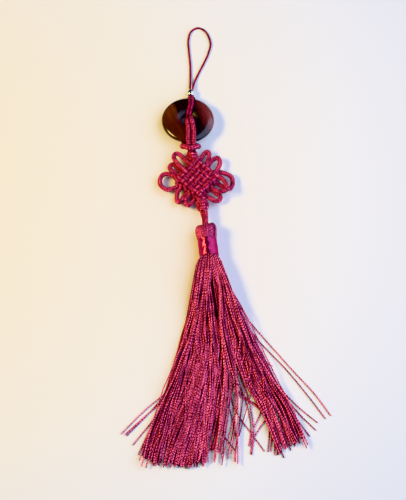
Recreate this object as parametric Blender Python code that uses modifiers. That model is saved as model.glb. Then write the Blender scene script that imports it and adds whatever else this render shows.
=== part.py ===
"""Knotted silk tassel with a stone ring, lying flat on a table.

A thin cord makes the hanging loop, runs through a small metal bead and is hitched to the upper rim
of a stone ring. A thick satin cord is hitched to the ring's lower rim, tied into a woven knot
between two small knots, and ends in the head of the tassel.

Lengths are in millimetres here, and each mesh is scaled to metres as it is made. +Z is up, the
table is at z = 0, and +Y runs from the tassel towards the hanging loop. The origin is on the table,
in the middle of the footprint that everything but the hanging loop covers.
"""

import math
import random

import bmesh
import bpy
from mathutils import Matrix, Vector

NAME = "silk_tassel"
MM = 0.001
GAP = 0.3                      # clearance between separate pieces
FOOTPRINT_CENTRE = Vector((-1.465, -2.155, 0.0))
TO_WORLD = Matrix.Scale(MM, 4) @ Matrix.Translation(-FOOTPRINT_CENTRE)

# Cords
CORD_DIAMETER = 2.6            # satin cord of the knots
THIN_DIAMETER = 1.1            # cord of the hanging loop
CORD_POINT_SPACING = 2.2       # along a thick cord, between the points of its tube
THIN_POINT_SPACING = 2.4
HITCH_POINT_SPACING = 1.5
HITCH_SLACK = 0.25             # more than the clearance, where a hitch bends round the ring

# Stone ring
RING_CENTRE = Vector((-18.8, 82.1, 4.8))
RING_DIAMETER = 27.0
RING_HOLE = 6.4
RING_THICKNESS = 4.6
RING_TILT = math.radians(4.5)  # its lower rim lies on the thick cord, so it is the higher one
RING_ROUNDNESS = 2.3           # exponent of its section, where 2 is an ellipse
RING_STEPS = 32
RING_SECTION_POINTS = 14

# Bead
BEAD_CENTRE = Vector((-17.3, 99.8, 2.1))
BEAD_DIAMETER = 4.1
BEAD_HOLE = 3.2
BEAD_LENGTH = 3.0
BEAD_LEAN = math.radians(-4.0)
LEG_OFFSET = 0.7               # each leg of the thin cord, from the bead's axis
LEG_END = 0.2                  # from the bead's middle to the end of a leg inside it
BEAD_EDGE = 52                 # degrees round its bulge, from its waist to its rim
BEAD_STEPS = 18

# Woven knot
KNOT_CENTRE = Vector((-13.3, 48.3, 3.9))
KNOT_TURN = math.radians(50.0)
KNOT_LINES = 6                 # strands each way
KNOT_PITCH = 2.85              # from one strand to the next
KNOT_HALF_DEPTH = 3.9          # mid plane to the top of a crossing
KNOT_GROOVE = 2.7              # mid plane to the groove between two crossings
KNOT_PIT = 2.1                 # mid plane to the corner where four crossings meet
KNOT_EDGE = 1.4                # mid plane to the rim's shoulder
KNOT_SCALLOP = 0.8             # how far the rim is drawn in between two strands
CROSSING_SAMPLES = (0.0, 0.25, 0.75)

# Tassel
HEAD_TOP = Vector((-10.0, 23.1, 4.95))
HEAD_END = Vector((-8.0, 5.2, 4.95))
CORE_RADIUS = 4.3
CAP_RADIUS = 5.3
BAND_RADIUS = 5.1
BAND_START = 8.7               # from the head's top
BAND_END = 17.4
HEAD_STEPS = 28
CAP_FLUTE = 0.25               # depth of the grooves between the cap's bundles of thread

# Columns: place across the skirt, as a share of its width from the left, and how far below the head
# the threads there end.
SKIRT_ENDS = [(0.0, 101.5), (0.15, 107.0), (0.36, 108.0), (0.48, 104.0), (0.62, 101.5),
              (0.82, 99.5), (0.92, 96.5), (1.0, 89.0)]
SKIRT_RAGGED = 3.0             # how much sooner or later than its neighbours a thread may end
LEFT_SLOPE = -0.25             # sideways for each millimetre down, at the skirt's left edge
LEFT_END_SLOPE = -0.296
RIGHT_SLOPE = 0.462
PARTING = 0.64                 # where the skirt parts, as a share of its width from the left
PARTING_LEFT_SLOPE = 0.125
PARTING_RIGHT_SLOPE = 0.265
PARTING_START = 50.0
PARTING_FULL = 95.0
THREAD_WIDTH = 0.95
ROOT_THREAD_WIDTH = 0.28
ROW_PITCH = 0.9                # between rows of threads where they leave the head
LAYER_ROWS = 3                 # rows that settle into each layer
LAYER_PITCH = 0.95             # between layers where the skirt lies flat
LAYER_THREADS = (34, 46, 34)   # from the table up
MIDDLE_ROW = (LAYER_ROWS * len(LAYER_THREADS) - 1) / 2
ROOT_INSET = 0.55              # from the core's side to the outermost thread
THREAD_SECTION = ((-0.5, 0.0), (0.0, 0.8), (0.5, 0.0))    # for a thread 1 mm wide
SETTLE_START = 8.0             # below the head, the rows begin to sink into their layers
SETTLE_END = 46.0
STATIONS = (-1.2, 8.0, 20.0, 33.0, 50.0, 76.0)
THREAD_SHARE = 0.8             # of the room between its neighbours, that a thread fills
STATION_ROOM = 6.0             # no bend is closer to a thread's end
SWAY = 1.4
SWAY_WAVES = 2.3
SWAY_START = 30.0
SWAY_FULL = 100.0
STRAY_DROP = 10.0              # along a stray, before it comes down to the table
SEED = 7


def material(name, colour, roughness, metallic=0.0):
    made = bpy.data.materials.new(name)
    made.use_nodes = True
    shader = made.node_tree.nodes["Principled BSDF"]
    shader.inputs["Base Color"].default_value = (*colour, 1.0)
    shader.inputs["Roughness"].default_value = roughness
    shader.inputs["Metallic"].default_value = metallic
    return made


def clear_scene():
    for old in list(bpy.data.objects):
        bpy.data.objects.remove(old, do_unlink=True)


def new_collection(name):
    made = bpy.data.collections.new(name)
    bpy.context.scene.collection.children.link(made)
    return made


def add_object(name, data, collection):
    made = bpy.data.objects.new(name, data)
    collection.objects.link(made)
    return made


def evaluated_mesh(source):
    """The mesh of an object as its modifiers or its curve leave it, in world space."""
    graph = bpy.context.evaluated_depsgraph_get()
    mesh = bpy.data.meshes.new_from_object(source.evaluated_get(graph))
    mesh.transform(source.matrix_world)
    return mesh


def weld(mesh, distance=0.001):
    work = bmesh.new()
    work.from_mesh(mesh)
    bmesh.ops.remove_doubles(work, verts=work.verts, dist=distance)
    work.to_mesh(mesh)
    work.free()


def as_mesh_object(source, collection):
    """Replace an object by a plain mesh of what it shows."""
    name = source.name
    mesh = evaluated_mesh(source)
    weld(mesh)
    bpy.data.objects.remove(source, do_unlink=True)
    mesh.name = name
    return add_object(name, mesh, collection)


# ---- routes and tubes -------------------------------------------------------------------------

def smooth_route(points, spacing):
    """Evenly spaced points on a Catmull-Rom curve through the route's own points."""
    ends = [points[0] * 2 - points[1]] + list(points) + [points[-1] * 2 - points[-2]]
    fine = []
    for a, b, c, d in zip(ends, ends[1:], ends[2:], ends[3:]):
        for step in range(12):
            t = step / 12
            fine.append(0.5 * (2 * b + (c - a) * t + (2 * a - 5 * b + 4 * c - d) * t ** 2
                               + (3 * b - a - 3 * c + d) * t ** 3))
    fine.append(points[-1])
    lengths = [(b - a).length for a, b in zip(fine, fine[1:])]
    count = max(2, round(sum(lengths) / spacing))
    pitch = sum(lengths) / count
    even, walked = [fine[0]], 0.0
    for a, b, length in zip(fine, fine[1:], lengths):
        while len(even) < count and walked + length >= pitch * len(even):
            even.append(a.lerp(b, (pitch * len(even) - walked) / length))
        walked += length
    return even + [fine[-1]]


def add_spline(curve, points, radii=None):
    spline = curve.splines.new("POLY")
    spline.points.add(len(points) - 1)
    for index, point in enumerate(points):
        spline.points[index].co = (*point, 1.0)
        spline.points[index].radius = radii[index] if radii else 1.0


def tube(name, route, radius, collection, resolution=1):
    """A round cord with closed ends along a route, as a curve object."""
    curve = bpy.data.curves.new(name, "CURVE")
    curve.dimensions = "3D"
    curve.bevel_depth = radius
    curve.bevel_resolution = resolution
    curve.use_fill_caps = True
    add_spline(curve, route)
    return add_object(name, curve, collection)


def cord(name, route, collection, resolution=1):
    """A stretch of the thick cord, as a mesh object."""
    points = smooth_route([Vector(point) for point in route], CORD_POINT_SPACING)
    made = tube(name, points, CORD_DIAMETER / 2, collection, resolution)
    return as_mesh_object(made, collection)


# ---- joining and cutting ----------------------------------------------------------------------

def boolean(target, tool, operation, collection):
    cut = target.modifiers.new(operation.lower(), "BOOLEAN")
    cut.operation = operation
    cut.solver = "EXACT"
    cut.object = tool
    return as_mesh_object(target, collection)


def keep_outer_skin(mesh):
    """Drop the skins of pockets that a union seals inside a solid."""
    work = bmesh.new()
    work.from_mesh(mesh)
    unseen = set(work.verts)
    skins = []
    while unseen:
        front = [unseen.pop()]
        skin = set(front)
        while front:
            for edge in front.pop().link_edges:
                for vert in edge.verts:
                    if vert in unseen:
                        unseen.discard(vert)
                        skin.add(vert)
                        front.append(vert)
        skins.append(skin)
    largest = max(skins, key=len)
    bmesh.ops.delete(work, geom=[vert for skin in skins if skin is not largest for vert in skin])
    work.to_mesh(mesh)
    work.free()


def fuse(name, pieces, collection):
    """One closed solid from pieces that overlap."""
    whole = pieces[0]
    for piece in pieces[1:]:
        whole = boolean(whole, piece, "UNION", collection)
        bpy.data.objects.remove(piece, do_unlink=True)
    keep_outer_skin(whole.data)
    whole.name = name
    return whole


def turned(name, profile, steps, collection):
    """A closed or axis-to-axis profile of (radius, height) turned about the local Z axis."""
    mesh = bpy.data.meshes.new(name)
    closed = profile[0][0] > 0
    edges = [(i, i + 1) for i in range(len(profile) - 1)]
    if closed:
        edges.append((len(profile) - 1, 0))
    mesh.from_pydata([(radius, 0, height) for radius, height in profile], edges, [])
    made = add_object(name, mesh, collection)
    screw = made.modifiers.new("turn", "SCREW")
    screw.steps = steps
    screw.render_steps = steps
    screw.use_merge_vertices = True
    screw.merge_threshold = 0.0001
    return made


def place(mesh_object, matrix):
    mesh_object.data.transform(matrix)


# ---- stone ring -------------------------------------------------------------------------------

RING_MID_RADIUS = (RING_DIAMETER + RING_HOLE) / 4
RING_HALF_WIDTH = (RING_DIAMETER - RING_HOLE) / 4


def section_point(angle, half_width, half_height):
    """A point of the ring's rounded section, or of one set off from it."""
    power = 2 / RING_ROUNDNESS
    across = half_width * math.copysign(abs(math.cos(angle)) ** power, math.cos(angle))
    up = half_height * math.copysign(abs(math.sin(angle)) ** power, math.sin(angle))
    return across, up


def ring_frame():
    return Matrix.Translation(RING_CENTRE) @ Matrix.Rotation(-RING_TILT, 4, "X")


def make_ring(collection):
    profile = []
    for index in range(RING_SECTION_POINTS):
        angle = math.pi / 2 - 2 * math.pi * index / RING_SECTION_POINTS
        across, up = section_point(angle, RING_HALF_WIDTH, RING_THICKNESS / 2)
        profile.append((RING_MID_RADIUS + across, up))
    ring = as_mesh_object(turned("stone_ring", profile, RING_STEPS, collection), collection)
    place(ring, ring_frame())
    return ring


def side_by_side(rows, side):
    """The points of one strand of a pair, -1 for the left and 1 for the right.

    Columns of the rows: x halfway between the strands, half the distance between them, y, z.
    """
    return [Vector((middle + side * half, y, z)) for middle, half, y, z in rows]


def around_ring(side, x, degrees, clearance, hole_clearance):
    """A point beside the ring's bar: 0 is outside its rim, 90 above it, 180 in the hole, 270 below."""
    angle = math.radians(degrees)
    set_off = hole_clearance if math.cos(angle) < 0 else clearance
    across, up = section_point(angle, RING_HALF_WIDTH + set_off, RING_THICKNESS / 2 + clearance)
    return ring_frame() @ Vector((x, side * (RING_MID_RADIUS + across), up))


def larks_head(name, rim, radius, hole_clearance, tails, columns, fold, spacing, collection):
    """A hitch round the ring, as pieces to fuse: two strands, and the fold that holds them.

    Each strand goes up over the ring's face, through the hole and back behind it, and the fold
    crosses in front of both strands just outside the rim. rim is 1 at the upper rim and -1 at the
    lower. tails holds each strand's points before the ring. columns holds, for its face, its hole
    and behind it, the place across the ring halfway between the strands and half the distance
    between them. fold holds rows of side_by_side, the last of them the fold's top.
    """
    clearance = radius + GAP + HITCH_SLACK
    pieces = []
    folded = []
    for side in (-1, 1):
        face, hole, behind = (middle + side * half for middle, half in columns)
        route = list(tails[side])
        for x, degrees in ((face, 50), (face, 90), (face * 0.3 + hole * 0.7, 130), (hole, 180),
                           (hole * 0.7 + behind * 0.3, 230), (behind, 270), (behind, 310)):
            route.append(around_ring(rim, x, degrees, clearance, hole_clearance))
        points = smooth_route(route, spacing)
        pieces.append(as_mesh_object(tube(name, points, radius, collection), collection))
        folded.append(route[-2:] + side_by_side(fold, side))
    points = smooth_route(folded[0] + folded[1][-2::-1], spacing)
    pieces.append(as_mesh_object(tube(name, points, radius, collection), collection))
    return pieces


# ---- thin cord --------------------------------------------------------------------------------

LOOP_ROUTE = [(-17.6, 110.0, 0.75), (-17.7, 118.0, 0.6), (-18.4, 126.0, 0.6), (-18.8, 133.0, 0.6),
              (-17.4, 138.6, 0.6), (-13.6, 141.0, 0.6), (-9.4, 138.4, 0.6), (-7.0, 131.6, 0.6),
              (-8.2, 125.0, 0.6), (-10.6, 118.9, 0.6), (-13.1, 113.3, 0.6), (-15.3, 107.6, 0.9)]
ABOVE_BEAD = BEAD_LENGTH / 2 + 0.5
HANGER_STANDING = 1.8          # how far below the bead's middle its legs stand apart from it
HANGER_HOLE_CLEARANCE = 1.3
# Columns: see side_by_side.
HANGER_TAILS = [(-17.1, 0.75, 96.9, 3.4)]
HANGER_FOLD = [(-17.2, 1.9, 96.6, 2.9), (-17.2, 1.1, 97.2, 4.5), (-17.2, 0.0, 97.3, 4.9)]
# Columns: halfway between the strands, half the distance. Rows: the ring's face, its hole, behind.
HANGER_COLUMNS = [(1.7, 1.0), (0.45, 0.75), (0.6, 1.3)]


def bead_axis_point(distance, offset):
    """A point in or near the bead's hole: distance up its axis and offset across it."""
    return BEAD_CENTRE + Matrix.Rotation(BEAD_LEAN, 3, "Z") @ Vector((offset, distance, 0))


def make_hanging_loop(collection):
    route = [bead_axis_point(LEG_END, -LEG_OFFSET), bead_axis_point(ABOVE_BEAD, -LEG_OFFSET)]
    route += [Vector(point) for point in LOOP_ROUTE]
    route += [bead_axis_point(ABOVE_BEAD, LEG_OFFSET), bead_axis_point(LEG_END, LEG_OFFSET)]
    points = smooth_route(route, THIN_POINT_SPACING)
    return tube("hanging_loop", points, THIN_DIAMETER / 2, collection, resolution=2)


def make_hanger_hitch(collection):
    tails = {}
    for side in (-1, 1):
        in_bead = [bead_axis_point(-distance, side * LEG_OFFSET)
                   for distance in (LEG_END, HANGER_STANDING / 2, HANGER_STANDING)]
        tails[side] = in_bead + side_by_side(HANGER_TAILS, side)
    pieces = larks_head("hanger_hitch", 1, THIN_DIAMETER / 2, HANGER_HOLE_CLEARANCE, tails,
                        HANGER_COLUMNS, HANGER_FOLD, HITCH_POINT_SPACING, collection)
    return fuse("hanger_hitch", pieces, collection)


def make_bead(collection):
    half_length = BEAD_LENGTH / 2
    hole = BEAD_HOLE / 2
    profile = []
    for share in (1, 0.6, 0, -0.6, -1):
        angle = math.radians(BEAD_EDGE * share)
        height = half_length * math.sin(angle) / math.sin(math.radians(BEAD_EDGE))
        profile.append((BEAD_DIAMETER / 2 * math.sqrt(math.cos(angle)), height))
    profile += [(hole, -half_length), (hole, half_length)]
    bead = as_mesh_object(turned("bead", profile, BEAD_STEPS, collection), collection)
    lie_down = Matrix.Rotation(BEAD_LEAN, 4, "Z") @ Matrix.Rotation(math.radians(-90), 4, "X")
    place(bead, Matrix.Translation(BEAD_CENTRE) @ lie_down)
    return bead


# ---- knots of the thick cord ------------------------------------------------------------------

# Each ear of the woven knot leaves and enters the weave at two roots and turns about its tip.
# Columns: root x, y, z; other root x, y, z; tip centre x, y, z; tip radius. All from KNOT_CENTRE.
EARS = {
    "upper_left_high": (-4.8, 9.1, 0.7, -7.4, 3.9, 0.7, -10.9, 12.1, 0.6, 1.7),
    "upper_left_low": (-7.6, 3.4, -0.5, -9.6, 1.0, -0.5, -13.7, 7.2, -0.6, 1.5),
    "left": (-10.2, 0.6, 0.2, -9.4, -4.4, 0.2, -16.2, -1.4, -0.6, 3.5),
    "lower_left_high": (-9.3, -5.0, 0.2, -5.0, -6.9, 0.2, -9.4, -10.8, -0.6, 1.35),
    "lower_left_low": (-4.0, -8.1, 0.2, 0.0, -9.5, 0.2, -5.3, -13.0, -0.6, 1.4),
    "upper_right_high": (0.5, 10.2, 0.0, 4.1, 7.6, 0.0, 4.1, 14.0, -0.2, 1.3),
    "upper_right_low": (4.6, 6.5, 0.0, 7.9, 3.1, 0.0, 9.1, 10.3, -0.2, 1.7),
    "right": (7.6, 2.5, -0.2, 7.2, -1.5, -0.6, 13.4, -0.5, -1.3, 3.8),
    "lower_right_high": (5.6, -4.0, 0.4, 7.6, 0.7, 1.4, 11.8, -5.3, 2.2, 2.4),
    "lower_right_low": (5.6, -5.6, 0.0, 3.4, -9.4, 0.0, 9.2, -10.1, -0.4, 1.65),
}
EAR_SINK = 2.5                 # how far an ear's root runs on into the weave

UPPER_TIE = Vector((-16.6, 61.6, 4.4))
LOWER_TIE = Vector((-11.2, 33.6, 4.6))
TIE_WIDTH = 5.7
TIE_LENGTH = 7.0
TIE_DEPTH = 5.4
TIE_LEAN = math.radians(8.0)
TIE_CORE_MARGIN = 0.7          # its core, beyond the middle of the strands around it
TIE_STRAND = Vector((0.8, 0.7, 0.0))   # from a small knot's middle to where a strand starts in it
# Half of a double connection knot: a lobe at its side and a strand slanting over its face.
# Columns: x, y and z, each as a share of the way from the knot's middle to its outermost strands.
TIE_LOBE = [(0.0, 1.0, 0.0), (1.0, 0.5, 0.2), (1.0, -0.5, 0.2), (0.0, -1.0, 0.0)]
TIE_SLANT = [(-0.7, 0.9, 0.5), (0.0, 0.0, 1.0), (0.7, -0.9, 0.5)]

RING_HITCH_HOLE_CLEARANCE = 2.35
# Columns: see side_by_side.
RING_HITCH_TAILS = [(-16.9, 1.1, 64.9, 6.0), (-17.2, 1.4, 66.8, 8.0)]
RING_HITCH_FOLD = [(-17.4, 4.2, 66.6, 4.2), (-17.4, 3.0, 65.6, 6.6), (-17.3, 0.0, 65.0, 7.9)]
UPPER_LINK = [(-14.9, 1.3, 57.5, 4.2), (-14.2, 1.6, 54.5, 4.0)]
LOWER_LINK = [(-11.8, 1.3, 38.6, 4.2), (-12.4, 1.6, 42.0, 4.0)]
NECK = [(-10.8, 1.3, 28.6, 4.9), (-10.4, 1.35, 25.0, 4.95)]
# Columns: halfway between the strands, half the distance. Rows: the ring's face, its hole, behind.
RING_HITCH_COLUMNS = [(1.2, 1.6), (0.0, 1.35), (0.4, 2.4)]


def make_weave(collection):
    """The woven block: a slab with a raised crossing in each cell, the same on both faces."""
    samples = len(CROSSING_SAMPLES)
    count = KNOT_LINES * samples
    work = bmesh.new()
    bmesh.ops.create_grid(work, x_segments=count, y_segments=count, size=count / 2)

    def spread(value):
        index = round(value + count / 2)
        return index, KNOT_PITCH * (index // samples + CROSSING_SAMPLES[index % samples] - KNOT_LINES / 2)

    for vert in work.verts:
        column, x = spread(vert.co.x)
        row, y = spread(vert.co.y)
        on_line = (column % samples == 0) + (row % samples == 0)
        height = (KNOT_HALF_DEPTH, KNOT_GROOVE, KNOT_PIT)[on_line]
        if column in (0, count) or row in (0, count):
            height = KNOT_EDGE
            if on_line == 2:
                inset = 1 - 2 * KNOT_SCALLOP / (KNOT_LINES * KNOT_PITCH)
                x *= inset if column in (0, count) else 1
                y *= inset if row in (0, count) else 1
        vert.co = (x, y, height)
    rim = [edge for edge in work.edges if edge.is_boundary]
    skirt = bmesh.ops.extrude_edge_only(work, edges=rim)["geom"]
    for vert in (part for part in skirt if isinstance(part, bmesh.types.BMVert)):
        vert.co.z = 0
    bmesh.ops.recalc_face_normals(work, faces=work.faces)
    mesh = bpy.data.meshes.new("weave")
    work.to_mesh(mesh)
    work.free()
    weave = add_object("weave", mesh, collection)
    mirror = weave.modifiers.new("other face", "MIRROR")
    mirror.use_axis = (False, False, True)
    mirror.merge_threshold = 0.0001
    weave = as_mesh_object(weave, collection)
    place(weave, Matrix.Translation(KNOT_CENTRE) @ Matrix.Rotation(KNOT_TURN, 4, "Z"))
    return weave


def make_ear(name, numbers, collection):
    root, other, tip = (Vector(numbers[i:i + 3]) for i in (0, 3, 6))
    radius = numbers[9]
    middle = (root + other) / 2
    outward = (tip - middle).normalized()
    across = Vector((-outward.y, outward.x, 0)).normalized()
    if (root - middle).dot(across) < 0:
        across = -across
    route = [root - outward * EAR_SINK, root]
    for degrees in (80, 40, 0, -40, -80):
        angle = math.radians(degrees)
        route.append(tip + radius * (outward * math.cos(angle) + across * math.sin(angle)))
    route += [other, other - outward * EAR_SINK]
    return cord(name, [KNOT_CENTRE + point for point in route], collection)


def move_to(collection, made):
    for old in list(made.users_collection):
        old.objects.unlink(made)
    collection.objects.link(made)


def make_tie(name, centre, collection):
    """A double connection knot, whose two halves are alike, one turned half round its length."""
    radius = CORD_DIAMETER / 2
    reach = Vector((TIE_WIDTH / 2 - radius, TIE_LENGTH / 2 - radius * 0.7, TIE_DEPTH / 2 - radius))
    turn = Matrix.Translation(centre) @ Matrix.Rotation(TIE_LEAN, 4, "Z")
    bpy.ops.mesh.primitive_ico_sphere_add(subdivisions=2, radius=1)
    core = bpy.context.active_object
    core.name = f"{name}_core"
    margin = Vector((TIE_CORE_MARGIN,) * 3)
    core.data.transform(turn @ Matrix.Diagonal((*(reach + margin), 1)))
    move_to(collection, core)
    pieces = [core]
    for half in (-1, 1):
        for shape in (TIE_LOBE, TIE_SLANT):
            route = [turn @ Vector((half * x * reach.x, y * reach.y, half * z * reach.z))
                     for x, y, z in shape]
            pieces.append(cord(f"{name}_strand", route, collection))
    return pieces


def tie_strand(tie, side, upward):
    """Where one of the two strands that leave a small knot starts inside it."""
    return tie + Vector((side * TIE_STRAND.x, upward * TIE_STRAND.y, TIE_STRAND.z))


def make_ring_hitch(collection):
    tails = {side: [tie_strand(UPPER_TIE, side, 1)] + side_by_side(RING_HITCH_TAILS, side)
             for side in (-1, 1)}
    return larks_head("ring_hitch", -1, CORD_DIAMETER / 2, RING_HITCH_HOLE_CLEARANCE, tails,
                      RING_HITCH_COLUMNS, RING_HITCH_FOLD, CORD_POINT_SPACING, collection)


def make_links(collection):
    """The pairs of strands between a small knot and a corner of the weave, and to the head."""
    pieces = []
    for side in (-1, 1):
        for tie, upward, rows in ((UPPER_TIE, -1, UPPER_LINK), (LOWER_TIE, 1, LOWER_LINK)):
            route = [tie_strand(tie, side, upward)] + side_by_side(rows, side)
            pieces.append(cord("link", route, collection))
        route = [tie_strand(LOWER_TIE, side, -1)] + side_by_side(NECK, side) + [neck_end(side)]
        pieces.append(cord("neck", route, collection))
    return pieces


def make_knotted_cord(collection):
    pieces = [make_weave(collection)]
    pieces += [make_ear(name, numbers, collection) for name, numbers in EARS.items()]
    pieces += make_links(collection)
    pieces += make_tie("upper_tie", UPPER_TIE, collection)
    pieces += make_tie("lower_tie", LOWER_TIE, collection)
    pieces += make_ring_hitch(collection)
    return fuse("knotted_cord", pieces, collection)


# ---- tassel -----------------------------------------------------------------------------------

SOCKET_RADIUS = CORD_DIAMETER + 2 * GAP
SOCKET_DEPTH = 2.0
NECK_END_CLEARANCE = GAP + 0.15        # round caps reach past a strand's end point
HEAD_LENGTH = 18.0
# Columns: radius, distance down from the head's top.
HEAD_PROFILE = [(0.0, SOCKET_DEPTH), (SOCKET_RADIUS, SOCKET_DEPTH), (SOCKET_RADIUS + 0.1, 0.5),
                (4.2, 0.0), (4.9, 0.7), (CAP_RADIUS, 2.2), (CAP_RADIUS, 6.3), (4.9, 7.8),
                (CORE_RADIUS, 8.4), (CORE_RADIUS, HEAD_LENGTH), (0.0, HEAD_LENGTH)]
FLOOR_CUTTER = Vector((80.0, 80.0, 10.0))


def head_frame():
    """Local Z runs up the head's axis, from its top."""
    down = (HEAD_END - HEAD_TOP).normalized()
    lean = math.atan2(down.x, -down.y)
    return (Matrix.Translation(HEAD_TOP) @ Matrix.Rotation(lean, 4, "Z")
            @ Matrix.Rotation(math.radians(-90), 4, "X"))


def neck_end(strand):
    """Where a strand of the neck ends, just clear of the bottom of the head's socket."""
    return head_frame() @ Vector((strand * CORD_DIAMETER / 2, 0, NECK_END_CLEARANCE - SOCKET_DEPTH))


def make_floor_cutter(collection):
    bpy.ops.mesh.primitive_cube_add(size=1)
    floor = bpy.context.active_object
    floor.name = "below_table"
    floor.data.transform(Matrix.Diagonal((*FLOOR_CUTTER, 1)))
    floor.data.transform(Matrix.Translation((0, 0, -FLOOR_CUTTER.z / 2)))
    move_to(collection, floor)
    floor.hide_render = True
    floor.display_type = "WIRE"
    return floor


def make_head(collection, floor):
    profile = [(radius, -depth) for radius, depth in HEAD_PROFILE]
    head = as_mesh_object(turned("head", profile, HEAD_STEPS, collection), collection)
    for vert in head.data.vertices:
        on_cap = 4.5 < math.hypot(vert.co.x, vert.co.y) and vert.co.z > -BAND_START
        turn = round(math.atan2(vert.co.y, vert.co.x) / (2 * math.pi) * HEAD_STEPS)
        if on_cap and turn % 2:
            shrink = 1 - CAP_FLUTE / CAP_RADIUS
            vert.co.x *= shrink
            vert.co.y *= shrink
    place(head, head_frame())
    return boolean(head, floor, "DIFFERENCE", collection)


def make_band(collection, floor):
    inner = CORE_RADIUS + GAP
    profile = [(inner, -BAND_START), (BAND_RADIUS - 0.1, -BAND_START), (BAND_RADIUS, -BAND_START - 0.4),
               (BAND_RADIUS, -BAND_END + 0.4), (BAND_RADIUS - 0.1, -BAND_END), (inner, -BAND_END)]
    band = as_mesh_object(turned("head_band", profile, HEAD_STEPS, collection), collection)
    place(band, head_frame())
    return boolean(band, floor, "DIFFERENCE", collection)


# Threads that stray from the skirt's edges, lying on the table.
# Columns: layer, how many threads in from the edge, where it leaves, sideways slope, where it ends.
LEFT_STRAYS = [(2, 0, 69.0, -0.90, 91.5), (1, 0, 73.0, -0.92, 92.0), (0, 0, 81.0, -0.76, 96.7),
               (1, 1, 86.5, -0.46, 101.5)]
RIGHT_STRAYS = [(2, 0, 38.0, 0.79, 82.0), (1, 0, 44.0, 0.79, 83.5), (0, 0, 71.0, 1.04, 85.5),
                (1, 1, 81.0, 0.95, 89.5)]


def find_stray(layer, index):
    """Where a stray leaves the skirt, its slope and where it ends, or None for another thread."""
    from_right = LAYER_THREADS[layer] - 1 - index
    for table, inward in ((LEFT_STRAYS, index), (RIGHT_STRAYS, from_right)):
        for stray_layer, stray_inward, leaves, slope, ends in table:
            if (stray_layer, stray_inward) == (layer, inward):
                return leaves, slope, ends
    return None


def ease(value, start, end):
    share = min(1.0, max(0.0, (value - start) / (end - start)))
    return share * share * (3 - 2 * share)


def row_height(layer, row):
    """Height of a row above the head's axis, where its threads leave the head."""
    return (layer * LAYER_ROWS + row - MIDDLE_ROW) * ROW_PITCH


def row_half_width(layer, row):
    """Half the width of a row of threads across the round end of the head."""
    return math.sqrt((CORE_RADIUS - ROOT_INSET) ** 2 - row_height(layer, row) ** 2)


def rows_of_threads(layer):
    """For each thread of a layer, its row where it leaves the head and its place in that row.

    Rows take threads in turn by their width, and a place runs from -1 to 1 across the row.
    """
    widths = [row_half_width(layer, row) for row in range(LAYER_ROWS)]
    due = [0.0] * LAYER_ROWS
    rows = []
    for _ in range(LAYER_THREADS[layer]):
        due = [owed + width / sum(widths) for owed, width in zip(due, widths)]
        row = due.index(max(due))
        due[row] -= 1
        rows.append(row)
    places = []
    for index, row in enumerate(rows):
        places.append(2 * (rows[:index].count(row) + 0.5) / rows.count(row) - 1)
    return list(zip(rows, places))


def skirt_end(share):
    """How far below the head the threads end at a place across the skirt."""
    for (start, first), (stop, last) in zip(SKIRT_ENDS, SKIRT_ENDS[1:]):
        if share <= stop:
            return first + (last - first) * (share - start) / (stop - start)
    return SKIRT_ENDS[-1][1]


def thread_slope(share):
    """Sideways slope of a thread by its place across the skirt, near the head and at its end."""
    even = LEFT_SLOPE + (RIGHT_SLOPE - LEFT_SLOPE) * share
    if share < PARTING:
        parted = LEFT_END_SLOPE + (PARTING_LEFT_SLOPE - LEFT_END_SLOPE) * share / PARTING
    else:
        beyond = (share - PARTING) / (1 - PARTING)
        parted = PARTING_RIGHT_SLOPE + (RIGHT_SLOPE - PARTING_RIGHT_SLOPE) * beyond
    return even, parted


def fan_across(layer, share, down):
    """How far across the fan a thread of a layer lies, at a distance below the head."""
    even, parted = thread_slope(share)
    slope = even + (parted - even) * ease(down, PARTING_START, PARTING_FULL)
    wave = math.sin(2 * math.pi * (SWAY_WAVES * share + layer / len(LAYER_THREADS)))
    sway = SWAY * wave * ease(down, SWAY_START, SWAY_FULL)
    return row_half_width(1, 1) * (2 * share - 1) + slope * max(down, 0) + sway


def thread_points(layer, row, place, share, end, stray):
    """The points and widths along one thread."""
    step = 1 / LAYER_THREADS[layer]
    settled_z = layer * LAYER_PITCH
    root_z = HEAD_END.z + row_height(layer, row) - ROOT_THREAD_WIDTH / 3
    leaves, stray_slope, end = stray or (math.inf, 0.0, end)
    stops = [stop for stop in STATIONS if stop < end - STATION_ROOM] + [end]
    if stray:
        stops = sorted(stops + [leaves, leaves + STRAY_DROP])
    points, widths = [], []
    for down in stops:
        across = fan_across(layer, share, down)
        fanned = ease(down, 0, SETTLE_START)
        in_row = row_half_width(layer, row) * place
        rise = 1 - ease(down, SETTLE_START, SETTLE_END)
        height = settled_z + (root_z - settled_z) * rise
        room = min(fan_across(layer, share + step, down) - across,
                   across - fan_across(layer, share - step, down))
        width = max(ROOT_THREAD_WIDTH, min(THREAD_WIDTH, THREAD_SHARE * room))
        across = in_row + (across - in_row) * fanned
        if down > leaves:
            across = fan_across(layer, share, leaves) + stray_slope * (down - leaves)
            width = widths[-1]
        if down > leaves + STRAY_DROP:
            height = 0.0
        points.append(Vector((HEAD_END.x + across, HEAD_END.y - down, height)))
        widths.append(width)
    return points, widths


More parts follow.
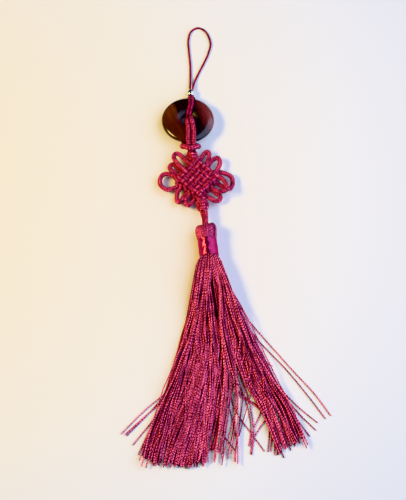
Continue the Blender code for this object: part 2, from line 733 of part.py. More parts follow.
def make_threads(collection):
    """The threads of the skirt as one curve with a three-sided profile, flat side down."""
    section = bpy.data.curves.new("thread_section", "CURVE")
    section.dimensions = "2D"
    corners = section.splines.new("POLY")
    corners.points.add(len(THREAD_SECTION) - 1)
    for point, (x, y) in zip(corners.points, THREAD_SECTION):
        point.co = (x, y, 0, 1)
    corners.use_cyclic_u = True
    profile = add_object("thread_section", section, collection)
    curve = bpy.data.curves.new("threads", "CURVE")
    curve.dimensions = "3D"
    curve.bevel_mode = "OBJECT"
    curve.bevel_object = profile
    curve.use_fill_caps = True
    curve.twist_mode = "Z_UP"
    ragged = random.Random(SEED)
    for layer, count in enumerate(LAYER_THREADS):
        for index, (row, place) in enumerate(rows_of_threads(layer)):
            share = (index + 0.5) / count
            end = skirt_end(share) + ragged.uniform(-1, 1) * SKIRT_RAGGED
            stray = find_stray(layer, index)
            add_spline(curve, *thread_points(layer, row, place, share, end, stray))
    threads = add_object("threads", curve, collection)
    threads = as_mesh_object(threads, collection)
    bpy.data.objects.remove(profile, do_unlink=True)
    return threads


def make_tassel(collection, floor):
    head = make_head(collection, floor)
    threads = make_threads(collection)
    tassel = boolean(head, threads, "UNION", collection)
    bpy.data.objects.remove(threads, do_unlink=True)
    tassel.name = "tassel"
    return tassel


# ---- whole object -----------------------------------------------------------------------------

def finish(piece, surface, smooth_angle=math.radians(40)):
    """Give a piece its material, its place and size in metres and smooth shading."""
    piece.data.materials.clear()
    piece.data.materials.append(surface)
    piece.data.transform(TO_WORLD)
    if piece.type == "MESH":
        piece.data.shade_smooth()
        piece.data.set_sharp_from_angle(angle=smooth_angle)


def main():
    clear_scene()
    parts = new_collection(NAME)
    cutters = new_collection("cutters")
    floor = make_floor_cutter(cutters)
    satin = material("satin cord, crimson", (0.40, 0.02, 0.10), 0.45)
    rayon = material("rayon thread, crimson", (0.42, 0.02, 0.10), 0.40)
    stone = material("tiger's eye, dark red", (0.10, 0.02, 0.01), 0.10)
    metal = material("silver plate", (0.80, 0.80, 0.78), 0.20, 1.0)
    finish(make_hanging_loop(parts), satin)
    finish(make_hanger_hitch(parts), satin)
    finish(make_bead(parts), metal)
    finish(make_ring(parts), stone)
    finish(make_knotted_cord(parts), satin)
    finish(make_tassel(parts, floor), rayon)
    finish(make_band(parts, floor), rayon)
    floor.data.transform(TO_WORLD)


main()
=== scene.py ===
"""Looks of a knotted silk tassel with a stone ring, lying on a pale table.

The knots are tied here from one long braided cord, the tassel is made of its separate threads, and
the stone and the bead get their polish. Pieces are laid out in millimetres, in the layout that the
solids use, and each is brought to the frame's metres when it is finished.
"""
import math

import bpy
import numpy as np
from mathutils import Matrix, Vector


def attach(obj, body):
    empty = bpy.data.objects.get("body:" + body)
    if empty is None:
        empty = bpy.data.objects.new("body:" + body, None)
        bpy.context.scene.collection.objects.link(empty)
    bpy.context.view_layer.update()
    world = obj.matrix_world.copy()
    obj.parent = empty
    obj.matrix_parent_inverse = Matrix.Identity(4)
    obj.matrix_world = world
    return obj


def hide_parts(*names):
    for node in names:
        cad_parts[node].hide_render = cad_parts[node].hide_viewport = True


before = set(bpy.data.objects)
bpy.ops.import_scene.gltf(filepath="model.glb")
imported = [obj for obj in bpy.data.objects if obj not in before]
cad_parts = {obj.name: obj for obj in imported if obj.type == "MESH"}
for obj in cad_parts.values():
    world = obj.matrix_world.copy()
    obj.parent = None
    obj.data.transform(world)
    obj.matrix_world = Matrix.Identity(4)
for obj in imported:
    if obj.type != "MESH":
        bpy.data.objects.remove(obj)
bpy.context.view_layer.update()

MM = 0.001
FOOTPRINT_CENTRE = Vector((-1.465, -2.155, 0.0))
TO_FRAME = Matrix.Scale(MM, 4) @ Matrix.Translation(-FOOTPRINT_CENTRE)

# ---- sizes, in millimetres --------------------------------------------------------------------

CORD_RADIUS = 1.22
WOVEN_RADIUS = 1.12            # of the same cord where the weave squeezes it
THIN_RADIUS = 0.55
HANGER_RADIUS = 0.66           # of the same thin cord where the hitch slackens it
CARRIERS = 8                   # stitches round the thick cord
THIN_CARRIERS = 4
STITCH = 1.1                   # length of a braid stitch along the thick cord
THIN_STITCH = 0.8
STITCH_STEPS = 3               # rings of points in each stitch, and points across it
STITCH_RELIEF = 0.1            # how far a stitch stands out, as a share of the cord's radius
MEAN_STITCH = 0.75             # the part of that relief that lies within the cord's radius
FILAMENTS = 5                  # drawn across a stitch
ROUTE_STEPS = 24               # points worked out between two of a route's own
STRAND_CREASE = 60             # degrees past which a strand's edge is sharp
TURNED_STEPS = 48              # points round a turned piece
# The tones are partly each thread's own, and partly painted shade on the skirt's lower threads.
TONES = 8                      # of the tassel's threads, from dark to bright
CREVICE = 2.2                  # within which other strands shut out the light

RING_CENTRE = Vector((-18.8, 82.1, 4.8))
RING_DIAMETER = 27.0
RING_HOLE = 6.4
RING_THICKNESS = 4.6
RING_TILT = math.radians(4.5)
RING_ROUNDNESS = 2.3           # exponent of its section, where 2 is an ellipse
RING_MID_RADIUS = (RING_DIAMETER + RING_HOLE) / 4
RING_HALF_WIDTH = (RING_DIAMETER - RING_HOLE) / 4

BEAD_CENTRE = Vector((-17.3, 99.8, 2.1))
BEAD_DIAMETER = 4.1
BEAD_HOLE = 3.2
BEAD_LENGTH = 3.0
BEAD_EDGE = 52                 # degrees round its bulge, from its waist to its rim
BEAD_LEAN = math.radians(-4.0)
LEG_OFFSET = 0.62              # each leg of the thin cord, from the bead's axis
LEG_END = 0.2                  # from the bead's middle to the end of a leg inside it
ABOVE_BEAD = 2.0               # to where a leg bends away above it

KNOT_CENTRE = Vector((-13.3, 48.3, 3.9))
KNOT_TURN = math.radians(50.0)
KNOT_LINES = 6
KNOT_PITCH = 2.64
WEAVE_SHIFT = Vector((-0.6, 0.0, 0.0))    # of the weave in the middle of its ears
OVER = 2.7                     # height above the knot's middle of a strand that crosses over
UNDER = 0.95
OVER_HALF = 0.24               # half the length of a crossing's flat top, as a share of the pitch
OVER_FULLNESS = 1.17           # a strand's width where it shows, and where it is pinched under
UNDER_FULLNESS = 0.78
RIM_HEIGHT = 1.3               # of a strand at the weave's rim
TURN_REACH = 1.75              # how far a turn from one line to the next stands past the rim
TURN_SHOULDER = 1.25           # and how far its two shoulders do
# Rows at a strand's free ends: how far past the rim, its height, and how squeezed it is.
STRAND_ENDS = [(1.7, 0.2, 0.3), (1.1, 1.0, 0.6)]
# Most that a strand is off its place: across it, along it and in height.
WEAVE_UNEVEN = (0.1, 0.08, 0.08)
WEAVE_FLATNESS = 0.24          # how much lower than wide the squeezed cord is
UPPER_TIE = Vector((-16.6, 61.6, 4.4))
LOWER_TIE = Vector((-11.2, 33.1, 4.6))
TIE_LEAN = math.radians(8.0)

HEAD_TOP = Vector((-10.1, 24.0, 4.95))
HEAD_END = Vector((-8.0, 5.2, 4.95))
BAND_START = 10.4
BAND_END = 19.9
BAND_RADIUS = 4.72

# ---- small helpers ----------------------------------------------------------------------------


def linear(hex_colour):
    """A linear colour from an sRGB hex value."""
    parts = [int(hex_colour[place:place + 2], 16) / 255 for place in (1, 3, 5)]
    return tuple(part / 12.92 if part <= 0.04045 else ((part + 0.055) / 1.055) ** 2.4
                 for part in parts) + (1.0,)


def in_frame(point):
    return TO_FRAME @ Vector(point)


def add_node(tree, kind, inputs=None, **settings):
    """Add a shader node with its settings, and a value or a link for each input that is named."""
    made = tree.nodes.new("ShaderNode" + kind)
    for name, value in settings.items():
        setattr(made, name, value)
    for key, value in (inputs or {}).items():
        if isinstance(value, bpy.types.Node):
            value = value.outputs[0]
        if isinstance(value, bpy.types.NodeSocket):
            tree.links.new(value, made.inputs[key])
        else:
            made.inputs[key].default_value = value
    return made


def new_material(name, constants):
    """A material, with these values on its shader's own sockets."""
    made = bpy.data.materials.new(name)
    made.use_nodes = True
    tree = made.node_tree
    shader = tree.nodes["Principled BSDF"]
    for socket, value in constants.items():
        shader.inputs[socket].default_value = value
    return made, tree, shader


def ease(value, start, end):
    """0 up to the start and 1 from the end on, with a smooth way between."""
    share = np.clip((np.asarray(value, float) - start) / (end - start), 0, 1)
    return share * share * (3 - 2 * share)


def finished(piece, surface, slot, *replaced):
    """Bring a piece to the frame, give it its material and put it in place of its solid."""
    bpy.ops.object.select_all(action="DESELECT")
    piece.data.transform(TO_FRAME)
    piece.data.materials.clear()
    piece.data.materials.append(surface)
    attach(piece, "root")
    if replaced:
        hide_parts(*replaced)


# ---- strands ----------------------------------------------------------------------------------


def smooth_route(points, spacing, lowest=0.0):
    """Evenly spaced points on a Catmull-Rom curve through rows of x, y, z and anything more.

    None of them comes out below the lowest height.
    """
    points = np.array(points, float)
    ends = np.vstack([2 * points[0] - points[1], points, 2 * points[-1] - points[-2]])
    t = np.linspace(0, 1, ROUTE_STEPS, endpoint=False)[:, None]
    fine = [0.5 * (2 * b + (c - a) * t + (2 * a - 5 * b + 4 * c - d) * t ** 2
                   + (3 * b - a - 3 * c + d) * t ** 3)
            for a, b, c, d in zip(ends, ends[1:], ends[2:], ends[3:])]
    fine = np.vstack(fine + [points[-1:]])
    walked = np.concatenate([[0], np.cumsum(np.linalg.norm(np.diff(fine[:, :3], axis=0), axis=1))])
    count = max(3, round(walked[-1] / spacing))
    stops = np.linspace(0, walked[-1], count + 1)
    route = np.stack([np.interp(stops, walked, column) for column in fine.T], axis=1)
    route[:, 2] = np.maximum(route[:, 2], lowest)
    return route


def ring_directions(points):
    """Two directions across the strand at each point, carried along it without twisting."""
    tangents = np.gradient(points[:, :3], axis=0)
    tangents /= np.linalg.norm(tangents, axis=1)[:, None]
    across = np.cross(tangents[0], (0, 0, 1))
    if np.linalg.norm(across) < 0.1:
        across = np.cross(tangents[0], (1, 0, 0))
    sides = []
    for tangent in tangents:
        across = across - tangent * across.dot(tangent)
        across = across / np.linalg.norm(across)
        sides.append(across)
    sides = np.array(sides)
    return sides, np.cross(sides, tangents)


def mapped_mesh(name, verts, faces, uvs, crease):
    """A smooth mesh with a UV map for its strands, and its edges past the crease left sharp."""
    mesh = bpy.data.meshes.new(name)
    mesh.from_pydata(verts, [], faces)
    layer = mesh.uv_layers.new(name="strand")
    layer.uv.foreach_set("vector", uvs.astype(np.float32).ravel())
    mesh.shade_smooth()
    mesh.set_sharp_from_angle(angle=math.radians(crease))
    made = bpy.data.objects.new(name, mesh)
    bpy.context.scene.collection.objects.link(made)
    return made


def strand_mesh(name, strands):
    """One mesh of closed strands, each an array of its rings of points, with a UV map along them.

    A strand is (rings, pitch, tone): the map has the share of the way round as U, on top of the
    strand's tone, a whole number, and as V the ring's number times the pitch.
    """
    verts, faces, caps, uvs, cap_uvs, start = [], [], [], [], [], 0
    for rings, pitch, tone in strands:
        count, sides = rings.shape[:2]
        verts.append(rings.reshape(-1, 3))
        ring, side = np.meshgrid(np.arange(count - 1), np.arange(sides), indexing="ij")
        low = start + ring * sides
        high = low + sides
        after = (side + 1) % sides
        faces.append(np.stack([low + side, low + after, high + after, high + side], -1).reshape(-1, 4))
        left, right = tone + side / sides, tone + (side + 1) / sides
        bottom, top = ring * pitch, (ring + 1) * pitch
        corners = [left, bottom, right, bottom, right, top, left, top]
        uvs.append(np.stack(corners, -1).reshape(-1, 8))
        for end, order in ((0, range(sides - 1, -1, -1)), (count - 1, range(sides))):
            caps.append([start + end * sides + i for i in order])
            cap_uvs += [(tone + i / sides, end * pitch) for i in order]
        start += count * sides
    flat = np.concatenate([np.vstack(uvs).ravel(), np.array(cap_uvs, float).ravel()])
    every_face = np.vstack(faces).tolist() + caps
    return mapped_mesh(name, np.vstack(verts).tolist(), every_face, flat, STRAND_CREASE)


def braided(points, radii, carriers, squeeze=1.0):
    """The rings of a braided cord, whose stitches stand out in turn from two sets of carriers.

    squeeze is its height as a share of its width, for each point or for all.
    """
    sides = carriers * STITCH_STEPS
    across, up = ring_directions(points)
    ring, place = np.meshgrid(np.arange(len(points)), np.arange(sides), indexing="ij")
    one_way, other_way = (place + ring) / STITCH_STEPS, (place - ring) / STITCH_STEPS
    stitch = np.sin(np.pi * (one_way % 1)) * np.sin(np.pi * (other_way % 1))
    angle = 2 * np.pi * place / sides
    reach = (np.asarray(radii)[:, None] * (1 + STITCH_RELIEF * (stitch - MEAN_STITCH)))[..., None]
    offset = reach * (np.cos(angle)[..., None] * across[:, None]
                      + np.sin(angle)[..., None] * up[:, None])
    tangents = np.cross(across, up)
    level = np.cross(tangents, (0, 0, 1))
    level /= np.maximum(np.linalg.norm(level, axis=1), 0.2)[:, None]
    rising = np.cross(level, tangents)[:, None]
    height = (offset * rising).sum(-1, keepdims=True)
    squeezed = np.broadcast_to(squeeze, len(points))[:, None, None]
    offset = offset + rising * height * (squeezed - 1)
    return points[:, None, :3] + offset


def soft_strand(points, radius, sides, turn=0.0):
    """The rings of a plain round strand, whose seam stands at an angle of turn."""
    across, up = ring_directions(points)
    angle = np.tile(2 * np.pi * np.arange(sides) / sides + turn, (len(points), 1))
    reach = np.broadcast_to(radius, len(points))[:, None, None]
    return points[:, None, :3] + reach * (np.cos(angle)[..., None] * across[:, None]
                                          + np.sin(angle)[..., None] * up[:, None])


# ---- materials --------------------------------------------------------------------------------


def silky(metallic, roughness, sheen):
    """The shader's values for dyed satin: it shines pink, and its edges glow a little."""
    return {"Metallic": metallic, "Roughness": roughness, "Specular IOR Level": 0.35,
            "Specular Tint": linear("#ff8fb2"), "Sheen Weight": sheen,
            "Sheen Tint": linear("#ff6fa8"), "Sheen Roughness": 0.4}


def clouds(tree, number, detail):
    """Soft clouds of noise through the piece, about this number of them to a millimetre."""
    place = add_node(tree, "TexCoord")
    return add_node(tree, "TexNoise", {"Vector": place.outputs["Object"], "Scale": number / MM,
                                       "Detail": detail})


def paint_crevice_shade(tree, shader, colour, crevice_shade, shut, clear, samples):
    """Colour the shader, and paint the crevice shade where other strands shut out the light."""
    open_air = add_node(tree, "AmbientOcclusion", {"Distance": CREVICE * MM}, samples=samples)
    share = add_node(tree, "MapRange", {0: open_air.outputs["AO"], 1: shut, 2: clear})
    mixed = add_node(tree, "Mix", {0: share, 6: linear(crevice_shade), 7: colour}, data_type="RGBA")
    tree.links.new(mixed.outputs[2], shader.inputs["Base Color"])


def braided_satin(name, carriers, shadowed, lit):
    """Nylon knotting cord, braided from flat satin filaments.

    The two sets of carriers catch the light differently, so it is painted flecked, in light and
    shade, with bright pink lights and dark crimson painted shade in its grooves. Its real
    filaments are too fine to show, so only a few are drawn across each stitch.
    """
    made, tree, shader = new_material(name, silky(0.35, 0.38, 0.15))
    uv = add_node(tree, "UVMap", uv_map="strand")
    parts = add_node(tree, "SeparateXYZ", {0: uv})
    around = add_node(tree, "Math", {0: parts, 1: carriers}, operation="MULTIPLY")
    along = parts.outputs[1]
    one_way = add_node(tree, "Math", {0: around, 1: along}, operation="ADD")
    other_way = add_node(tree, "Math", {0: around, 1: along}, operation="SUBTRACT")
    first = add_node(tree, "Math", {0: one_way}, operation="FLOOR")
    second = add_node(tree, "Math", {0: other_way}, operation="FLOOR")
    both = add_node(tree, "Math", {0: first, 1: second}, operation="ADD")
    on_top = add_node(tree, "Math", {0: both, 1: 2.0}, operation="FLOORED_MODULO")
    # Painted light and shade: one set of carriers gets the lit colour, the other the shadowed one.
    fleck = add_node(tree, "Mix", {0: on_top, 6: linear(shadowed), 7: linear(lit)},
                     data_type="RGBA")
    # A stitch is highest at its middle, and painted shade darkens the groove round it.
    crown_a = add_node(tree, "Math", {0: one_way, 1: 0.5}, operation="PINGPONG")
    crown_b = add_node(tree, "Math", {0: other_way, 1: 0.5}, operation="PINGPONG")
    crown = add_node(tree, "Math", {0: crown_a, 1: crown_b}, operation="MULTIPLY")
    groove_shade = add_node(tree, "MapRange", {0: crown, 1: 0.0, 2: 0.1, 3: 0.4, 4: 1.05})
    # Painted uneven sheen: the satin is lighter and darker in small clouds.
    sheen_clouds = clouds(tree, 0.7, 2.0)
    shade = add_node(tree, "MapRange", {0: sheen_clouds, 1: 0.35, 2: 0.65, 3: 0.42, 4: 1.42})
    groove_shade_and_sheen = add_node(tree, "Math", {0: groove_shade, 1: shade}, operation="MULTIPLY")
    tinted = add_node(tree, "VectorMath", {0: fleck.outputs[2], "Scale": groove_shade_and_sheen}, operation="SCALE")
    # Painted shade in the crevices between strands.
    paint_crevice_shade(tree, shader, tinted, "#280106", 0.2, 0.8, 6)
    slant = add_node(tree, "Mix", {0: on_top, 2: one_way, 3: other_way}, data_type="FLOAT")
    lines = add_node(tree, "Math", {0: slant, 1: 2 * math.pi * FILAMENTS}, operation="MULTIPLY")
    filaments = add_node(tree, "Math", {0: lines}, operation="SINE")
    height = add_node(tree, "Math", {0: filaments, 1: 0.03, 2: crown}, operation="MULTIPLY_ADD")
    bump = add_node(tree, "Bump", {"Strength": 1.0, "Distance": 0.6 * MM, "Height": height})
    tree.links.new(bump.outputs[0], shader.inputs["Normal"])
    return made


def twisted_floss(name, stitch, tuft, shadowed, lit):
    """Viscose tassel thread: soft plies twisted together, silky, with painted shade as a dark line
    between them.

    A stitch is the length in millimetres from one ply's crown to the next, and a tuft that of the
    clouds of painted sheen along a thread. The plies' slant is too fine to show, so it is drawn
    half as steep as the real one.
    """
    made, tree, shader = new_material(name, silky(0.25, 0.36, 0.1))
    uv = add_node(tree, "UVMap", uv_map="strand")
    parts = add_node(tree, "SeparateXYZ", {0: uv})
    along = parts.outputs[1]
    uneven = clouds(tree, 0.26, 1.0)
    around = add_node(tree, "Math", {0: uneven, 1: 1.2, 2: parts}, operation="MULTIPLY_ADD")
    phase = add_node(tree, "Math", {0: along, 1: 1 / stitch, 2: around}, operation="MULTIPLY_ADD")
    half_turns = add_node(tree, "Math", {0: phase, 1: math.pi}, operation="MULTIPLY")
    wave = add_node(tree, "Math", {0: half_turns}, operation="SINE")
    ply = add_node(tree, "Math", {0: wave}, operation="ABSOLUTE")
    # Painted light and shade: each ply's crown gets the lit colour, the groove between plies the
    # shadowed one.
    groove = add_node(tree, "MapRange", {0: ply, 1: 0.15, 2: 0.95})
    colours = add_node(tree, "Mix", {0: groove, 6: linear(shadowed), 7: linear(lit)},
                       data_type="RGBA")
    # Painted uneven sheen: clouds of light and dark along the threads, set apart from one tone to the
    # next.
    tone_number = add_node(tree, "Math", {0: parts}, operation="FLOOR")
    aside = add_node(tree, "Math", {0: tone_number, 1: 5.3}, operation="MULTIPLY")
    in_tufts = add_node(tree, "Math", {0: along, 1: 1 / tuft}, operation="MULTIPLY")
    own_place = add_node(tree, "CombineXYZ", {0: aside, 1: in_tufts})
    cloud = add_node(tree, "TexNoise", {"Vector": own_place, "Scale": 1.0, "Detail": 2.0})
    shade = add_node(tree, "MapRange", {0: cloud, 1: 0.35, 2: 0.65, 3: 0.55, 4: 1.4})
    # A thread's tone number: partly its own tone, and in the skirt partly painted shade on the lower
    # threads.
    tone = add_node(tree, "MapRange", {0: tone_number, 1: 0.0, 2: TONES - 1, 3: 0.45, 4: 1.3})
    toned = add_node(tree, "Math", {0: shade, 1: tone}, operation="MULTIPLY")
    # Painted shade where the threads are gathered: darker in their first few millimetres.
    gathered_shade = add_node(tree, "MapRange", {0: along, 1: 2.0, 2: 7.0, 3: 0.35, 4: 1.05})
    shaded = add_node(tree, "Math", {0: toned, 1: gathered_shade}, operation="MULTIPLY")
    tinted = add_node(tree, "VectorMath", {0: colours.outputs[2], "Scale": shaded},
                      operation="SCALE")
    # Painted shade in the crevices between threads.
    paint_crevice_shade(tree, shader, tinted, "#300206", 0.3, 0.75, 5)
    bump = add_node(tree, "Bump", {"Strength": 1.0, "Distance": 0.14 * MM, "Height": ply})
    tree.links.new(bump.outputs[0], shader.inputs["Normal"])
    return made


# Bands of the stone: how far across it each colour lies, as a share, in its red and golden parts.
RED_BANDS = [(0.0, "#3a1208"), (0.15, "#481509"), (0.3, "#451208"), (0.345, "#30100a"),
             (0.365, "#150708"), (0.5, "#190a0a"), (0.68, "#170808"), (0.76, "#4c2224"),
             (0.85, "#743c3e"), (1.0, "#8a504c")]
GOLD_BANDS = [(0.0, "#4a2010"), (0.12, "#562812"), (0.2, "#643218"), (0.25, "#4e220e"),
              (0.3, "#643216"), (0.345, "#461c0e"), (0.365, "#150708"), (0.68, "#170808"),
              (0.78, "#4c2224"), (1.0, "#8a504c")]
BAND_SLANT = math.radians(21.7)


def polished_stone(name):
    """Tiger's eye, heated to red and polished: bands of silky fibre in gold, red and near black."""
    made, tree, shader = new_material(name, {"IOR": 1.54})
    place = add_node(tree, "TexCoord")
    # Turned so that X runs across the bands and Y along them, in millimetres from the middle.
    centred = add_node(tree, "Mapping", {"Vector": place.outputs["Object"],
                                         "Location": in_frame(RING_CENTRE),
                                         "Rotation": (0, 0, BAND_SLANT),
                                         "Scale": (MM, MM, MM)}, vector_type="TEXTURE")
    parts = add_node(tree, "SeparateXYZ", {0: centred})
    # The bands wander by a millimetre or so, over about 9 mm.
    wander = add_node(tree, "TexNoise", {"Vector": centred, "Scale": 0.11, "Detail": 2.0})
    bent = add_node(tree, "Math", {0: wander, 1: 4.0, 2: parts}, operation="MULTIPLY_ADD")
    # Fibres are about 0.4 mm wide across the bands, and 8 mm long along them.
    stretched = add_node(tree, "Mapping", {"Vector": centred, "Scale": (2.6, 0.12, 0.5)})
    fibres = add_node(tree, "TexNoise", {"Vector": stretched, "Scale": 1.0, "Detail": 3.0})
    split = add_node(tree, "Math", {0: fibres, 1: 1.6, 2: bent}, operation="MULTIPLY_ADD")
    share = add_node(tree, "MapRange", {0: split, 1: -10.0, 2: 17.0})
    reds = add_node(tree, "ValToRGB", {0: share})
    golds = add_node(tree, "ValToRGB", {0: share})
    for bands, colours in ((reds, RED_BANDS), (golds, GOLD_BANDS)):
        ramp = bands.color_ramp
        while len(ramp.elements) < len(colours):
            ramp.elements.new(0.5)
        for element, (position, colour) in zip(ramp.elements, colours):
            element.position = position
            element.color = linear(colour)
    # The gold shows in the half of the ring that is away from the tassel.
    gilt = add_node(tree, "MapRange", {0: parts.outputs[1], 1: 0.0, 2: 8.0, 3: 0.0, 4: 0.9})
    stone = add_node(tree, "Mix", {0: gilt, 6: reds, 7: golds}, data_type="RGBA")
    silk = add_node(tree, "MapRange", {0: fibres, 1: 0.35, 2: 0.65, 3: 0.6, 4: 1.3})
    tinted = add_node(tree, "VectorMath", {0: stone.outputs[2], "Scale": silk}, operation="SCALE")
    tree.links.new(tinted.outputs[0], shader.inputs["Base Color"])
    # The polish fades out towards the drilled hole.
    outward = add_node(tree, "VectorMath", {0: centred, 1: (1.0, 1.0, 0.0)}, operation="MULTIPLY")
    reach = add_node(tree, "VectorMath", {0: outward}, operation="LENGTH")
    polish = add_node(tree, "MapRange",
                      {0: reach.outputs["Value"], 1: 3.3, 2: 6.8, 3: 0.6, 4: 0.17})
    tree.links.new(polish.outputs[0], shader.inputs["Roughness"])
    return made


def silver_plate(name):
    """Silver plate, turned and tumbled bright: a mirror with faint rub marks."""
    made, tree, shader = new_material(name, {"Base Color": linear("#d9dad4"), "Metallic": 1.0})
    rubbed = clouds(tree, 0.9, 4.0)
    dull = add_node(tree, "MapRange", {0: rubbed, 1: 0.3, 2: 0.7, 3: 0.1, 4: 0.26})
    tree.links.new(dull.outputs[0], shader.inputs["Roughness"])
    return made


def mottle(tree, shader, number, dark, light):
    """Colour the shader in soft small clouds."""
    colours = add_node(tree, "Mix", {0: clouds(tree, number, 3.0), 6: linear(dark),
                                     7: linear(light)}, data_type="RGBA")
    tree.links.new(colours.outputs[2], shader.inputs["Base Color"])


def wound_satin(name):
    """Fine rayon thread wound tight and side by side: dark, but it shines pink in long streaks."""
    made, tree, shader = new_material(name, {"Metallic": 0.9, "Roughness": 0.24,
                                             "Specular Tint": linear("#ffa0c0"),
                                             "Anisotropic": 0.3})
    mottle(tree, shader, 0.5, "#6c0c2a", "#d24c7a")
    tangent = add_node(tree, "Tangent", direction_type="UV_MAP", uv_map="strand")
    tree.links.new(tangent.outputs[0], shader.inputs["Tangent"])
    return made


def shaded_floss(name):
    """The same viscose deep in the bundle, where little light reaches."""
    made, tree, shader = new_material(name, {"Roughness": 0.6})
    mottle(tree, shader, 0.7, "#5c0a26", "#8a1238")
    return made


# ---- hanging loop -----------------------------------------------------------------------------

# The same route as the solid's: out of the bead, round its top and back.
LOOP_ROUTE = [(-17.6, 110.0, 0.75), (-17.7, 118.0, 0.6), (-18.4, 126.0, 0.6), (-18.8, 133.0, 0.6),
              (-17.4, 138.6, 0.6), (-13.6, 141.0, 0.6), (-9.4, 138.4, 0.6), (-7.0, 131.6, 0.6),
              (-8.2, 125.0, 0.6), (-10.6, 118.9, 0.6), (-13.1, 113.3, 0.6), (-15.3, 107.6, 0.9)]


def bead_axis_point(distance, offset):
    """A point in or near the bead's hole: distance up its axis and offset across it."""
    return BEAD_CENTRE + Matrix.Rotation(BEAD_LEAN, 3, "Z") @ Vector((offset, distance, 0))


def hang_loop(cord_satin):
    up, down = ([bead_axis_point(distance, side * LEG_OFFSET) for distance in (LEG_END, ABOVE_BEAD)]
                for side in (-1, 1))
    points = smooth_route(up + LOOP_ROUTE + down[::-1], THIN_STITCH / STITCH_STEPS)
    rings = braided(points, np.full(len(points), THIN_RADIUS), THIN_CARRIERS)
    loop = strand_mesh("loop_cord", [(rings, 1 / STITCH_STEPS, 0)])
    finished(loop, cord_satin, "satin_cord", "hanging_loop")


# ---- stone ring -------------------------------------------------------------------------------


def section_point(angle, half_width, half_height):
    """A point of the ring's rounded section, or of one set off from it."""
    power = 2 / RING_ROUNDNESS
    across = half_width * math.copysign(abs(math.cos(angle)) ** power, math.cos(angle))
    up = half_height * math.copysign(abs(math.sin(angle)) ** power, math.sin(angle))
    return across, up


def ring_frame():
    return Matrix.Translation(RING_CENTRE) @ Matrix.Rotation(-RING_TILT, 4, "X")


def cut_stone_ring(stone):
    bpy.ops.object.select_all(action="DESELECT")
    bpy.ops.mesh.primitive_torus_add(major_radius=RING_MID_RADIUS, minor_radius=RING_HALF_WIDTH,
                                     major_segments=144, minor_segments=56)
    ring = bpy.context.active_object
    ring.name = "polished_ring"
    for vert in ring.data.vertices:
        flat = math.hypot(vert.co.x, vert.co.y)
        angle = math.atan2(vert.co.z, flat - RING_MID_RADIUS)
        across, up = section_point(angle, RING_HALF_WIDTH, RING_THICKNESS / 2)
        share = (RING_MID_RADIUS + across) / flat
        vert.co = (vert.co.x * share, vert.co.y * share, up)
    ring.data.transform(ring_frame())
    ring.data.shade_smooth()
    finished(ring, stone, "stone", "stone_ring")


# ---- hitches ----------------------------------------------------------------------------------

# Rows of tails and folds: x halfway between two strands, half the distance between them, y, z.
# Rows of columns: the same two, over the ring's face, in its hole and behind it.
HANGER_TAILS = [(-17.1, 0.62, 97.0, 3.4)]
HANGER_FOLD = [(-17.2, 1.6, 95.7, 3.2), (-17.2, 0.95, 96.1, 4.5), (-17.2, 0.0, 96.1, 5.0)]
HANGER_COLUMNS = [(1.6, 0.76), (0.4, 0.72), (0.6, 1.3)]
HANGER_STANDING = 1.9          # how far it runs straight down from the bead's middle
RING_HITCH_TAILS = [(-16.8, 0.95, 64.6, 5.3), (-16.95, 1.2, 66.6, 7.3)]
RING_HITCH_FOLD = [(-17.4, 4.1, 66.9, 4.7), (-17.3, 3.2, 65.9, 6.5), (-17.2, 1.4, 64.5, 7.9),
                   (-17.2, 0.0, 63.9, 8.1)]
RING_HITCH_COLUMNS = [(1.6, 1.42), (0.7, 0.9), (0.4, 2.4)]
HITCH_CLEARANCE = 0.12
# How far in the hole the left and the right strand stand off the stone, beyond that.
HANGER_BULGE = (0.0, 0.0)
RING_HITCH_BULGE = (1.7, 3.0)
FOLD_FULLNESS = 1.15
LIES_AT = 1.03                 # least height of a strand's middle, as a share of its radius
# Round the ring's bar: the degrees of around_ring, the way gone from the face at 0 through the hole
# at 1 to behind it at 2, and the share of the bulge there.
HITCH_ROUND = [(50, 0.0, 0.0), (90, 0.0, 0.0), (130, 0.7, 0.6), (180, 1.0, 1.0), (230, 1.3, 0.15),
               (270, 2.0, 0.0), (310, 2.0, 0.0)]


def side_by_side(rows, side):
    return [Vector((middle + side * half, y, z)) for middle, half, y, z in rows]


def around_ring(rim, x, degrees, clearance):
    """A point beside the ring's bar: 0 is outside its rim, 90 above it, 180 in the hole, 270 below."""
    angle = math.radians(degrees)
    across, up = section_point(angle, RING_HALF_WIDTH + clearance, RING_THICKNESS / 2 + clearance)
    return ring_frame() @ Vector((x, rim * (RING_MID_RADIUS + across), up))


def larks_head(rim, radius, tails, columns, bulges, fold, spacing):
    """The routes of a hitch round the ring: its two strands, and the fold that holds them."""
    clearance = radius + HITCH_CLEARANCE
    routes, folded = [], []
    for side, bulge in zip((-1, 1), bulges):
        places = [middle + side * half for middle, half in columns]
        route = list(tails[side])
        for degrees, gone, bulged in HITCH_ROUND:
            x = np.interp(gone, (0, 1, 2), places)
            route.append(around_ring(rim, x, degrees, clearance + bulged * bulge))
        routes.append(smooth_route(route, spacing, LIES_AT * radius))
        folded.append(route[-2:] + side_by_side(fold, side))
    whole_fold = folded[0] + folded[1][-2::-1]
    routes.append(smooth_route(whole_fold, spacing, LIES_AT * radius))
    return routes


def tie_hanger_hitch(thin_satin):
    tails = {}
    for side in (-1, 1):
        in_bead = [bead_axis_point(-distance, side * LEG_OFFSET)
                   for distance in (LEG_END, HANGER_STANDING / 2, HANGER_STANDING)]
        tails[side] = in_bead + side_by_side(HANGER_TAILS, side)
    strands = []
    for points in larks_head(1, HANGER_RADIUS, tails, HANGER_COLUMNS, HANGER_BULGE, HANGER_FOLD,
                             THIN_STITCH / STITCH_STEPS):
        radii = np.full(len(points), HANGER_RADIUS)
        strands.append((braided(points, radii, THIN_CARRIERS), 1 / STITCH_STEPS, 0))
    finished(strand_mesh("thin_hitch", strands), thin_satin, "satin_cord", "hanger_hitch")


# ---- bead -------------------------------------------------------------------------------------


